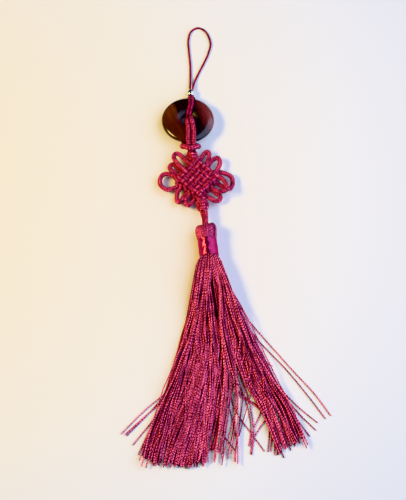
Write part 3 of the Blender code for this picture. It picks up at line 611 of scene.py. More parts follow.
def turned(name, profile):
    """Spin a profile of radius and height rows round Z, and close it."""
    bpy.ops.object.select_all(action="DESELECT")
    mesh = bpy.data.meshes.new(name)
    corners = [(radius, 0, height) for radius, height in profile]
    mesh.from_pydata(corners, [(i, i + 1) for i in range(len(corners) - 1)], [])
    made = bpy.data.objects.new(name, mesh)
    bpy.context.scene.collection.objects.link(made)
    made.select_set(True)
    bpy.context.view_layer.objects.active = made
    bpy.ops.object.mode_set(mode="EDIT")
    bpy.ops.mesh.select_all(action="SELECT")
    bpy.ops.mesh.spin(steps=TURNED_STEPS, angle=2 * math.pi, center=(0, 0, 0), axis=(0, 0, 1))
    bpy.ops.mesh.select_all(action="SELECT")
    bpy.ops.mesh.remove_doubles(threshold=0.0001)
    bpy.ops.mesh.normals_make_consistent(inside=False)
    bpy.ops.object.mode_set(mode="OBJECT")
    made.select_set(False)
    return made


def turn_bead(silver):
    profile = []
    half = BEAD_LENGTH / 2
    for degrees in range(-BEAD_EDGE, BEAD_EDGE + 1, 4):
        angle = math.radians(degrees)
        height = half * math.sin(angle) / math.sin(math.radians(BEAD_EDGE))
        profile.append((BEAD_DIAMETER / 2 * math.sqrt(math.cos(angle)), height))
    profile += [(BEAD_HOLE / 2, half), (BEAD_HOLE / 2, -half), profile[0]]
    bead = turned("silver_bead", profile)
    lie_down = Matrix.Rotation(BEAD_LEAN, 4, "Z") @ Matrix.Rotation(math.radians(-90), 4, "X")
    bead.data.transform(Matrix.Translation(BEAD_CENTRE) @ lie_down)
    bead.data.shade_smooth()
    finished(bead, silver, "silver", "bead")


# ---- knots of the thick cord ------------------------------------------------------------------

# Each ear of the woven knot: its height above the table where it leaves the weave, at its tip and
# where it goes back, and the points of its middle, as x and y from the knot's centre.
EARS = {
    "upper_left_high": ((3.6, 4.4, 6.2), [(-5.3, 9.6), (-7.7, 12.3), (-9.6, 14.1), (-11.2, 14.6),
                        (-12.5, 13.3), (-12.5, 11.3), (-11.0, 8.7), (-7.1, 3.8)]),
    "upper_left_low": ((2.9, 2.9, 3.6), [(-7.6, 3.6), (-10.7, 7.0), (-12.6, 8.9), (-13.9, 8.7),
                       (-14.7, 7.4), (-14.1, 5.8), (-12.2, 3.9), (-9.6, 1.2)]),
    "left": ((3.7, 2.9, 3.5), [(-11.4, 0.5), (-13.0, 2.5), (-15.5, 3.3), (-18.3, 2.8), (-19.6, -0.1),
             (-19.0, -3.2), (-16.4, -5.4), (-13.7, -5.2), (-9.4, -3.5)]),
    "lower_left_high": ((3.9, 3.0, 3.3), [(-9.1, -4.9), (-10.4, -6.9), (-10.9, -9.8), (-10.7, -12.0),
                        (-9.7, -12.6), (-8.6, -11.2), (-4.8, -6.7)]),
    "lower_left_low": ((3.7, 3.0, 3.3), [(-4.3, -8.1), (-5.8, -10.3), (-6.5, -12.3), (-6.0, -14.1),
                       (-4.3, -13.9), (-0.5, -9.8)]),
    "upper_right_high": ((3.2, 3.6, 4.0), [(0.5, 11.2), (3.6, 15.7), (5.1, 15.6), (5.4, 13.2),
                         (4.1, 8.3)]),
    "upper_right_low": ((3.8, 3.5, 3.8), [(4.3, 6.6), (5.9, 9.5), (7.7, 11.6), (9.7, 12.5),
                        (10.9, 10.6), (10.6, 7.7), (9.2, 4.9)]),
    "right": ((3.4, 2.2, 2.6), [(7.4, 4.3), (12.0, 4.3), (16.6, 2.0), (17.3, -2.0), (15.5, -4.6),
              (11.9, -3.2), (8.9, -0.9), (7.4, 0.3)]),
    "lower_right_high": ((4.9, 6.1, 6.0), [(6.3, -5.0), (8.9, -7.2), (11.9, -7.8), (14.4, -6.4),
                         (13.4, -2.7), (10.9, 0.2), (8.9, 1.0)]),
    "lower_right_low": ((3.6, 3.1, 3.5), [(3.8, -9.3), (5.8, -10.4), (8.1, -11.9), (10.4, -11.6),
                        (11.1, -9.6), (9.4, -8.2), (5.8, -4.8)]),
}
EAR_SINK = 3.2                 # how far an ear's ends run on into the weave
EAR_ROOT_FULLNESS = 0.95
# Pairs of strands between the small knots, the woven knot's corners and the head.
UPPER_LINKS = [[(-17.1, 60.2, 4.4), (-16.3, 59.4, 5.0), (-15.1, 58.8, 5.3), (-13.8, 57.7, 5.0)],
               [(-15.8, 60.4, 4.4), (-14.6, 60.3, 4.9), (-13.4, 59.2, 5.2), (-14.6, 57.6, 4.9)]]
LOWER_LINKS = [[(-12.2, 34.2, 4.4), (-12.9, 35.8, 4.6), (-13.4, 37.2, 4.9), (-12.2, 39.0, 4.7)],
               [(-10.3, 34.2, 4.4), (-10.4, 35.8, 4.6), (-11.0, 37.2, 5.0), (-12.4, 38.6, 4.8)]]
# A row of the neck: as for a hitch's tails.
NECK = [(-10.45, 0.75, 28.6, 4.9), (-9.95, 0.5, 25.6, 4.95), (-9.9, 0.35, 21.0, 4.95)]
NECK_OVERLAP = 0.95            # how far each strand lies above or below the neck's middle
# A double connection knot: half its width, length and height, and where strands leave its middle.
TIE_REACH = Vector((1.45, 1.9, 1.5))
TIE_EXIT = (0.8, 0.7)
TIE_FULLNESS = 1.15
# How squeezed the cord is in such a knot, in the links and in the neck, from 0 to 1.
TIE_SQUEEZE, LINK_SQUEEZE, NECK_SQUEEZE = 0.2, 0.4, 0.6
LOWER_TIE_SIZE = 1.2
# The loop round a half of the knot and the slant over it, as shares of TIE_REACH.
TIE_LOBE = [(0.2, 1.15, 0.0), (1.0, 0.6, 0.3), (1.0, -0.55, 0.3), (0.25, -1.1, 0.0)]
TIE_SLANT = [(-0.75, 1.1, 0.5), (-0.1, 0.25, 1.05), (0.0, -0.4, 1.05), (-0.1, -1.2, 0.5)]


def in_knot(x, y, height):
    """A point of the weave, whose lines are turned from the layout's axes."""
    turned_back = Matrix.Rotation(KNOT_TURN, 3, "Z") @ Vector((x, y, 0))
    return KNOT_CENTRE + WEAVE_SHIFT + turned_back + Vector((0, 0, height))


def woven_strand(index, crosswise, jitter):
    """One strand of the weave: along its front, round the rim, and back beside itself behind.

    Rows of the route: x, y, z, how much the weave squeezes the strand there, and how full it is.
    """
    turn_side = 1 if index % 2 else -1
    mate = index - 1 if index % 2 else index + 1
    half = (KNOT_LINES - 1) / 2
    rim = half * KNOT_PITCH
    rows = []

    def add(position, along, height, squeezed=1.0, full=1.0):
        position, along, height = (place + jitter.uniform(-most, most) for place, most
                                   in zip((position, along, height), WEAVE_UNEVEN))
        x, y = (along, position) if crosswise else (position, along)
        rows.append((*in_knot(x, y, height), squeezed, full))

    def cross_all(line, face, heading):
        position = (half - line) * KNOT_PITCH
        for step in range(KNOT_LINES):
            other = half * heading * -1 + heading * step
            crossed = round(half - other)
            if (line + crossed + crosswise + (face < 0)) % 2:
                add(position, other * KNOT_PITCH, face * UNDER, full=UNDER_FULLNESS)
                continue
            for ahead in (-OVER_HALF, OVER_HALF):
                along = (other + ahead * heading) * KNOT_PITCH
                add(position, along, face * OVER, full=OVER_FULLNESS)

    there, back = (half - index) * KNOT_PITCH, (half - mate) * KNOT_PITCH
    middle = (there + back) / 2
    for past, height, squeezed in STRAND_ENDS:
        add(there, -turn_side * (rim + past), height, squeezed)
    cross_all(index, 1, turn_side)
    add(there * 0.9 + middle * 0.1, turn_side * (rim + TURN_SHOULDER), RIM_HEIGHT, 0.6)
    add(middle, turn_side * (rim + TURN_REACH), 0.0, 0.3)
    add(middle * 0.1 + back * 0.9, turn_side * (rim + TURN_SHOULDER), -RIM_HEIGHT, 0.6)
    cross_all(mate, -1, -turn_side)
    for past, height, squeezed in reversed(STRAND_ENDS):
        add(back, -turn_side * (rim + past), -height, squeezed)
    return rows


def ear_route(heights, outline):
    """The rows of an ear, run on at both ends into the weave, which squeezes it there."""
    levels = np.interp(np.linspace(0, 2, len(outline)), (0, 1, 2), heights)
    rows = [(KNOT_CENTRE.x + x, KNOT_CENTRE.y + y, level, 0.0, 1.0)
            for (x, y), level in zip(outline, levels)]
    ends = []
    for first, second in ((0, 1), (-1, -2)):
        a, b = np.array(rows[first][:3]), np.array(rows[second][:3])
        sunk = a + (a - b) / np.linalg.norm(a - b) * EAR_SINK
        sunk[2] = (sunk[2] + KNOT_CENTRE.z) / 2
        ends.append((*sunk, 1.0, EAR_ROOT_FULLNESS))
    return [ends[0]] + rows + [ends[1]]


def tie_routes(centre, size):
    """A double connection knot, whose two halves are alike, one turned half round its length."""
    turn = Matrix.Translation(centre) @ Matrix.Rotation(TIE_LEAN, 4, "Z")
    reach = size * TIE_REACH
    routes = []
    for half in (-1, 1):
        for shape in (TIE_LOBE, TIE_SLANT):
            points = [turn @ Vector((half * x * reach.x, y * reach.y, half * z * reach.z))
                      for x, y, z in shape]
            routes.append([(*point, TIE_SQUEEZE, TIE_FULLNESS) for point in points])
    return routes


def tie_knots(satin):
    """The thick cord, all the way from the ring to the tassel's head."""
    spacing = STITCH / STITCH_STEPS
    jitter = np.random.default_rng(11)
    routes = [woven_strand(index, crosswise, jitter)
              for crosswise in (False, True) for index in range(KNOT_LINES)]
    routes += [ear_route(*ear) for ear in EARS.values()]
    routes += tie_routes(UPPER_TIE, 1.0) + tie_routes(LOWER_TIE, LOWER_TIE_SIZE)
    for link in UPPER_LINKS + LOWER_LINKS:
        routes.append([(*point, LINK_SQUEEZE, 1.0) for point in link])
    out, along = TIE_EXIT
    tails = {}
    for side in (-1, 1):
        neck = [LOWER_TIE + Vector((side * out, -along, 0))]
        neck += [point + Vector((0, 0, side * NECK_OVERLAP)) for point in side_by_side(NECK, side)]
        routes.append([(*point, NECK_SQUEEZE, 1.0) for point in neck])
        tails[side] = [UPPER_TIE + Vector((side * out, along, 0))]
        tails[side] += side_by_side(RING_HITCH_TAILS, side)
    strands = []
    for route in routes:
        points = smooth_route(route, spacing, WOVEN_RADIUS)
        squeezed = np.clip(points[:, 3], 0, 1)
        radii = (CORD_RADIUS + (WOVEN_RADIUS - CORD_RADIUS) * squeezed) * points[:, 4]
        rings = braided(points, radii, CARRIERS, 1 - WEAVE_FLATNESS * squeezed)
        strands.append((rings, 1 / STITCH_STEPS, 0))
    hitch = larks_head(-1, CORD_RADIUS, tails, RING_HITCH_COLUMNS, RING_HITCH_BULGE,
                       RING_HITCH_FOLD, spacing)
    for points, fullness in zip(hitch, (1.0, 1.0, FOLD_FULLNESS)):
        radii = np.full(len(points), CORD_RADIUS * fullness)
        strands.append((braided(points, radii, CARRIERS), 1 / STITCH_STEPS, 0))
    finished(strand_mesh("tied_cord", strands), satin, "satin_cord", "knotted_cord")


# ---- tassel -----------------------------------------------------------------------------------

CAP_THREADS = 60
CAP_THREAD_RADIUS = 0.3
# Columns: distance from the head's axis, depth below its top.
CAP_ROUTE = [(2.0, 4.8), (2.4, 3.2), (3.3, 2.3), (4.4, 2.6), (4.95, 3.8), (5.1, 5.2), (4.95, 7.1),
             (4.75, 8.8), (4.4, 10.2), (4.2, 11.9)]
CAP_CORE = [(0.0, 5.0), (1.6, 5.0), (2.3, 3.9), (3.3, 2.8), (4.2, 3.1), (4.7, 4.1), (4.8, 5.3),
            (4.65, 7.2), (4.4, 8.8), (4.1, 10.2), (4.1, 19.7), (0.0, 19.7)]
SADDLE = 1.3                   # how far it dips in front and behind, between its shoulders
SHOULDER_RISE = 0.45           # of the right shoulder over the head's axis
CAP_THREAD_SIDES = 6
CORE_FLOOR = 0.05              # the least heights of the core, and of the band outside and inside
BAND_FLOOR = 0.02
BAND_INNER_FLOOR = 0.12
CAP_SPACING = 0.5              # of the points along a cap thread
CAP_WAVER = 0.12               # most that a cap thread leaves its way, in radians and in reach
CAP_SWELLS = range(2, 6)       # rows of its route where it stands out or in
BAND_STEPS = 96                # points round the wound band
BAND_PITCH = 0.42              # from one turn of its thread to the next
BAND_ROUNDS = 4                # rows of points to a turn
BAND_INNER = 4.55              # its inner radius
BAND_RIDGE = 0.07              # how far a turn of its thread stands out
BAND_LUMP = 0.05               # and how far a lump of the bundle under it does
BAND_EDGE = 0.35               # how much its ends are rounded, over their last rows
BAND_EDGE_ROWS = 3
BAND_CREASE = 50               # degrees past which its edge is sharp

THREAD_RADIUS = 0.31
THREAD_FLOOR = THREAD_RADIUS + 0.02       # the least height of a thread's middle
THREAD_SPACING = 2.1           # of the points along a skirt thread
THREAD_SIDES = 5
SKIRT_THREADS = 300
# Columns: distance down from the head's end, and how thick the skirt is there.
SKIRT_THICKNESS = [(-2, 9.4), (0, 9.4), (12, 8.6), (30, 6.4), (55, 4.2), (85, 3.0), (115, 2.4)]
SKIRT_BED = 0.4                # height of its lowest threads' middles over the table
# Columns: place across the skirt, as a share of its width from the left, and how far below the head
# the threads there end.
SKIRT_ENDS = [(0.0, 100.0), (0.09, 105.0), (0.3, 106.5), (0.41, 105.0), (0.44, 100.5), (0.53, 101.5),
              (0.63, 104.5), (0.65, 99.0), (0.71, 97.0), (0.81, 97.5), (0.87, 95.0), (0.93, 93.0),
              (1.0, 90.5)]
SKIRT_RAGGED = 2.2             # most that a thread ends short of there or past it
EDGE_SPARE = 0.4               # how far a thread may lie outside the skirt's edges
ROOT_RADIUS = 4.1
RING_THREADS = 46              # side by side round the head's rim, and in each ring inside it
RING_STEP = 0.12               # between these rings, as a share of the outermost one's radius
# Columns: distance down from the head's end, and how far across the skirt's edge is there.
LEFT_EDGE = [(-2.0, -4.5), (0.3, -4.6), (6.5, -6.5), (12.8, -7.8), (23.2, -9.8), (34.0, -11.7),
             (49.0, -15.6), (58.0, -18.6), (67.0, -20.9), (85.0, -26.3), (97.0, -30.2), (110.0, -34.0)]
RIGHT_EDGE = [(-2.0, 4.6), (0.3, 4.9), (6.5, 6.8), (12.8, 9.2), (23.2, 13.1), (34.0, 18.6),
              (49.0, 25.3), (58.0, 29.3), (67.0, 33.3), (79.0, 39.3), (97.0, 46.0), (110.0, 51.0)]
PARTING = 0.64                 # where the skirt parts, as a share of its width from the left
PARTING_LEFT = [(40.0, 9.0), (60.0, 12.6), (72.0, 13.8), (84.0, 13.6), (104.0, 13.3)]
PARTING_RIGHT = [(40.0, 8.5), (59.5, 14.6), (68.0, 18.0), (77.0, 23.6), (86.0, 27.4), (97.7, 31.6),
                 (110.0, 36.0)]
SLIT_START, SLIT_MIDDLE, SLIT_END = 7.0, 23.0, 39.0    # of the skirt's dark slit, below the head
SLIT_WIDEST = (21, 26)         # between these it is open all the way
SLIT_ACROSS = 1.3              # where it would start at the head's end
SLIT_SLOPE = 0.055             # how far across it goes for each millimetre down
SLIT_WIDTH = 4.6
SLIT_REACH = 2.6               # over which the threads beside it are pushed aside
# Threads that stray from the edges or cross the parting, lying on the table. Columns: where each
# leaves the skirt, as its distance across and down from the head's end, and the points after that.
# They are placed one by one, as chance would not lay them so.
STRAYS = [
    [(17.5, 30.0), (23.2, 38.0), (39.9, 58.6), (50.1, 70.6), (57.9, 82.1)],
    [(17.9, 34.0), (24.5, 44.2), (37.1, 58.6), (47.3, 72.1), (55.3, 83.6)],
    [(30.5, 62.0), (36.1, 70.6), (43.6, 78.7), (51.5, 85.6)],
    [(35.0, 70.0), (42.8, 81.0), (50.6, 89.4)],
    [(33.5, 70.0), (41.0, 82.5), (47.6, 92.3)],
    [(25.0, 49.0), (28.2, 55.2), (30.6, 56.8)],
    [(-12.0, 60.5), (-13.9, 64.5), (-20.9, 70.6), (-30.6, 79.2), (-41.9, 91.2)],
    [(-12.6, 62.5), (-14.5, 67.6), (-28.3, 80.2), (-40.1, 91.6)],
    [(-13.0, 60.0), (-16.5, 66.0), (-28.7, 80.6), (-39.3, 92.2)],
    [(-19.5, 74.0), (-24.3, 81.0), (-36.2, 96.7)],
    [(-23.0, 79.0), (-27.0, 86.2), (-33.6, 101.4)],
    [(10.5, 72.0), (13.2, 80.8), (26.0, 99.7)],
    [(29.0, 76.0), (28.0, 81.5), (21.5, 92.5), (19.4, 101.0)],
    [(15.0, 62.0), (19.0, 74.5), (21.2, 90.0), (20.0, 101.5)],
    [(25.5, 68.0), (24.8, 79.0), (20.4, 91.0), (19.9, 100.5)],
    [(27.0, 73.0), (29.6, 84.0), (29.0, 99.8)],
    [(29.0, 78.0), (31.6, 88.0), (32.2, 101.6)],
    [(12.5, 66.0), (16.6, 72.6), (22.4, 76.5), (28.5, 83.0)],
    [(-13.8, 45.0), (-16.2, 52.0), (-17.9, 58.5), (-20.2, 67.5), (-23.9, 78.2)],
]
# Threads that come down over the others and cross the parting, as above.
CROSSING = [
    [(9.1, 46.9), (12.9, 60.8), (16.2, 71.0), (18.9, 80.3), (19.8, 89.3), (18.7, 97.2)],
    [(8.1, 49.5), (11.9, 63.9), (15.2, 71.5), (20.4, 75.2), (25.2, 78.7), (29.4, 85.3), (34.9, 93.2)],
    [(9.6, 50.5), (13.3, 64.9), (16.6, 72.0), (21.9, 76.7), (26.1, 81.3), (30.7, 88.3), (33.4, 94.2)],
    [(7.2, 48.4), (10.9, 64.9), (14.7, 72.5), (19.5, 75.2), (23.7, 78.7), (27.5, 83.3), (32.1, 92.2)],
    [(19.6, 57.2), (18.1, 66.9), (16.1, 74.5), (15.1, 81.8), (13.1, 94.2)],
    [(22.5, 62.4), (20.5, 70.5), (18.0, 78.2), (14.1, 92.2)],
    [(2.8, 39.1), (6.2, 57.2), (4.7, 72.0), (1.7, 89.3), (0.8, 99.2)],
    [(15.0, 44.3), (10.9, 62.4), (6.1, 79.2), (2.2, 98.2)],
    [(17.3, 49.5), (11.9, 66.9), (8.0, 81.8), (4.5, 100.1)],
    [(-2.0, 41.7), (1.3, 59.8), (3.2, 74.5), (7.9, 94.2)],
    [(1.4, 44.3), (6.1, 62.4), (9.0, 74.5), (12.6, 92.2)],
    [(-6.4, 46.9), (-1.6, 64.9), (2.3, 79.2), (6.0, 90.3), (12.6, 100.1)],
    [(21.2, 50.5), (25.3, 62.4), (27.1, 74.5), (30.2, 89.3), (30.9, 101.6)],
    [(25.4, 60.8), (26.2, 72.0), (28.4, 86.8), (27.7, 100.1)],
    [(26.3, 64.9), (29.0, 74.5), (34.1, 84.3), (38.5, 99.2)],
    [(11.1, 39.1), (16.3, 54.7), (21.5, 66.9), (29.9, 81.8), (41.5, 95.2)],
]
PLACED_ROOT = 3.7              # how far from the head's axis such threads leave it
PLACED_TOP = 8.4               # the greatest height of one
PLACED_FULLNESS = 0.9
LOCK_SIZES = (1, 3)            # threads in the small locks that cling together
# How far a lock leaves its way, at the table and on top, as a share of the skirt's width.
LOCK_STRAYS = (0.03, 0.15)
LEAVERS = 0.4                  # the share of the threads that leave their lock
STEADY_EDGE = 0.06             # none does in this share of the skirt's width at each edge
# Columns: place across the head, and where the threads from there end across the skirt. They are
# dense at its left, thin beside the parting, and dense again at its right.
SPREAD = [(0.0, 0.0), (0.66, 0.4), (0.7, 0.66), (1.0, 1.0)]


def head_frame():
    """Local Z runs up the head's axis, from its top."""
    down = (HEAD_END - HEAD_TOP).normalized()
    lean = math.atan2(down.x, -down.y)
    return (Matrix.Translation(HEAD_TOP) @ Matrix.Rotation(lean, 4, "Z")
            @ Matrix.Rotation(math.radians(-90), 4, "X"))


def on_head(place, reach, angle, depth, lowest):
    """A point round the head's axis and below its top, no lower than the lowest height."""
    point = place @ Vector((reach * math.cos(angle), reach * math.sin(angle), -depth))
    return point.x, point.y, max(point.z, lowest)


def shoulder(angle, depth):
    """How far the cap is raised at a place round it, most at its top."""
    saddle = SHOULDER_RISE * math.cos(angle) - SADDLE * math.sin(angle) ** 2
    return saddle * (1 - float(ease(depth, 4.0, 9.0)))


def wrap_head(floss, dark_floss, satin_thread):
    """The head: threads folded over its top, the bundle under them, and the band wound round."""
    place = head_frame()
    ragged = np.random.default_rng(5)
    strands = []
    for index in range(CAP_THREADS):
        start = 2 * math.pi * index / CAP_THREADS
        slant = ragged.uniform(-CAP_WAVER, CAP_WAVER)
        swell = ragged.uniform(-CAP_WAVER, CAP_WAVER)
        rows = []
        for step, (radius, depth) in enumerate(CAP_ROUTE):
            angle = start + slant * step / len(CAP_ROUTE)
            reach = radius + (swell if step in CAP_SWELLS else 0)
            sunk = depth - shoulder(angle, depth)
            rows.append(on_head(place, reach, angle, sunk, CAP_THREAD_RADIUS))
        points = smooth_route(rows, CAP_SPACING, CAP_THREAD_RADIUS)
        rings = soft_strand(points, CAP_THREAD_RADIUS, CAP_THREAD_SIDES, ragged.uniform(0, 6))
        pitch = CAP_SPACING * ragged.uniform(0.9, 1.2)
        strands.append((rings, pitch, int(ragged.integers(TONES))))
    finished(strand_mesh("cap_threads", strands), floss, "thread")
    core = turned("head_core", [(radius, -depth) for radius, depth in CAP_CORE])
    for vert in core.data.vertices:
        angle = math.atan2(vert.co.y, vert.co.x)
        vert.co.z += shoulder(angle, -vert.co.z)
    core.data.transform(place)
    for vert in core.data.vertices:
        vert.co.z = max(vert.co.z, CORE_FLOOR)
    core.data.shade_smooth()
    finished(core, dark_floss, "thread")
    wind_band(satin_thread)


def wind_band(satin_thread):
    """The head's wrapping: a fine thread wound round side by side, over the bundle's lumps."""
    place = head_frame()
    angles = [2 * math.pi * step / BAND_STEPS for step in range(BAND_STEPS)]
    rows = int((BAND_END - BAND_START) / BAND_PITCH) * BAND_ROUNDS
    rings = []
    for row in range(rows + 1):
        depth = BAND_START + (BAND_END - BAND_START) * row / rows
        wound = BAND_RIDGE * abs(math.sin(math.pi * row / BAND_ROUNDS))
        edge = BAND_EDGE * (1 - min(1.0, min(row, rows - row) / BAND_EDGE_ROWS)) ** 2
        ring = []
        for angle in angles:
            lumps = (math.sin(7 * angle + 0.9) + math.sin(5 * angle + 1.4 * depth)
                     + math.sin(0.9 * depth))
            reach = BAND_RADIUS + wound + BAND_LUMP * lumps - edge
            ring.append(on_head(place, reach, angle, depth, BAND_FLOOR))
        rings.append(ring)
    for depth in (BAND_END, BAND_START):
        rings.append([on_head(place, BAND_INNER, angle, depth, BAND_INNER_FLOOR)
                      for angle in angles])
    verts = [point for ring in rings for point in ring]
    faces, uvs = [], []
    for row in range(len(rings)):
        here, after = row * BAND_STEPS, (row + 1) % len(rings) * BAND_STEPS
        low, high = row / BAND_ROUNDS, (row + 1) / BAND_ROUNDS
        for step in range(BAND_STEPS):
            turn = (step + 1) % BAND_STEPS
            faces.append((here + step, after + step, after + turn, here + turn))
            left, right = step / BAND_STEPS, (step + 1) / BAND_STEPS
            uvs += [(left, low), (left, high), (right, high), (right, low)]
    band = mapped_mesh("wound_band", verts, faces, np.array(uvs), BAND_CREASE)
    finished(band, satin_thread, "thread", "head_band")


def look_up(table, places):
    """Values of a table's second column at places in its first."""
    return np.interp(places, *zip(*table))


def ripple(down, wave, phase):
    return np.sin(2 * np.pi * down / wave + phase)


def fan_across(share, down, left_part):
    """How far across the fan the places of a thread lie, at distances below the head."""
    left, right = look_up(LEFT_EDGE, down), look_up(RIGHT_EDGE, down)
    even = left + (right - left) * share
    if left_part:
        parted = left + (look_up(PARTING_LEFT, down) - left) * share / PARTING
    else:
        far = look_up(PARTING_RIGHT, down)
        parted = far + (right - far) * (share - PARTING) / (1 - PARTING)
    return even + (parted - even) * ease(down, 40, 60)


def keep_parted(across, down, left_part):
    """Keep a thread on its own side of the parting, and within the skirt's edges."""
    if left_part:
        kept = np.minimum(across, look_up(PARTING_LEFT, down))
    else:
        kept = np.maximum(across, look_up(PARTING_RIGHT, down))
    across = across + (kept - across) * ease(down, 44, 60)
    return np.clip(across, look_up(LEFT_EDGE, down) - EDGE_SPARE,
                   look_up(RIGHT_EDGE, down) + EDGE_SPARE)


def open_slit(across, down, rank):
    """Push a thread out of the skirt's dark slit, unless it lies deep in the skirt."""
    beside = across - SLIT_ACROSS - SLIT_SLOPE * down
    first, last = SLIT_WIDEST
    slit = ease(down, SLIT_START, first) * (1 - ease(down, last, SLIT_END))
    push = SLIT_WIDTH / 2 * slit * np.exp(-np.abs(beside) / SLIT_REACH) * ease(rank, 0.1, 0.3)
    right_of_slit = np.interp(SLIT_MIDDLE, down, beside) > 0
    return across + (push if right_of_slit else -push)


def settle_down(down, rank, place, end_share, root_height):
    """The heights of a thread on its way from the head to the table, where the skirt thins out."""
    # The skirt is thinner towards its two edges, and so is each lock.
    edge = 1 - 0.8 * abs(2 * end_share - 1) ** 5 * ease(down, 10, 40)
    thick = look_up(SKIRT_THICKNESS, down)
    flat = SKIRT_BED + (rank * (thick - 0.9) - 0.06 * place ** 2) * edge
    level = HEAD_END.z + root_height
    return level + (flat - level) * ease(down, 2, 34)


def pack_roots(shares, ranks):
    """Where each thread leaves the head: in rings, from its rim inwards, the nearest thread to each."""
    wide, high = 2 * shares - 1, 2 * ranks - 1
    reach = np.maximum(abs(wide), abs(high))
    away = np.hypot(wide, high)
    wanted = np.stack([wide, high], axis=1) * (reach / away)[:, None]
    roots = np.zeros_like(wanted)
    left = np.arange(len(shares))
    step = 0
    while len(left) > 0:
        ring, place = divmod(step, RING_THREADS)
        angle = 2 * math.pi * (place + 0.5 * (ring % 2)) / RING_THREADS
        site = (1 - RING_STEP * ring) * np.array([math.cos(angle), math.sin(angle)])
        nearest = int(np.argmin(np.hypot(*(wanted[left] - site).T)))
        roots[left[nearest]] = site
        left = np.delete(left, nearest)
        step += 1
    return roots


def gather_locks(chance):
    """Each thread's lock, and its place in it, counted from the lock's middle."""
    lock_of, place_in, lock = [], [], 0
    while len(lock_of) < SKIRT_THREADS:
        size = int(chance.integers(LOCK_SIZES[0], LOCK_SIZES[1] + 1))
        size = min(size, SKIRT_THREADS - len(lock_of))
        lock_of += [lock] * size
        place_in += [place - (size - 1) / 2 for place in range(size)]
        lock += 1
    return np.array(lock_of), np.array(place_in)


def leave_lock(across, rank, down, end_share, chance):
    """Let a thread leave its lock by chance, to cross the others on top of them."""
    if not STEADY_EDGE < end_share < 1 - STEADY_EDGE or chance.random() >= LEAVERS:
        return across, rank
    start = chance.uniform(5, 50)
    reach = chance.uniform(4.0, 20.0)
    side = 1 if end_share < 0.5 else -1
    if 0.2 < end_share < 0.85:
        side = chance.choice((-1, 1))
    across = across + reach * side * np.clip((down - start) / 70, 0, 1)
    return across, rank + (chance.uniform(0.8, 1.0) - rank) * ease(down, start - 10, start + 15)


def placed_route(rows, over):
    """The route of a thread placed one by one, which comes from the head to its first row."""
    x, y = rows[0]
    aside = 0.0
    # Those that come down over the others pass the slit on one side or the other.
    if over and x >= -1:
        aside = -1.0 if x < 5 else 2.2
    way = [(x * 0.1, -2.0), (x * 0.12, 0.6), (x * 0.2 + aside, y * 0.2),
           (x * 0.4 + aside, y * 0.4), (x * 0.72, y * 0.72)] + rows
    points = []
    for across, down in way:
        top = look_up(SKIRT_THICKNESS, down) - 0.2
        settled = ease(down, y + 6, y + 26) if over else ease(down, 0, y + 6)
        if down < 1:
            highest = HEAD_END.z + math.sqrt(max(0, PLACED_ROOT ** 2 - across ** 2))
        else:
            highest = PLACED_TOP
        height = min(highest, SKIRT_BED + top * (1 - settled))
        points.append((HEAD_END.x + across, HEAD_END.y - down, height))
    return smooth_route(points, THREAD_SPACING, THREAD_RADIUS)


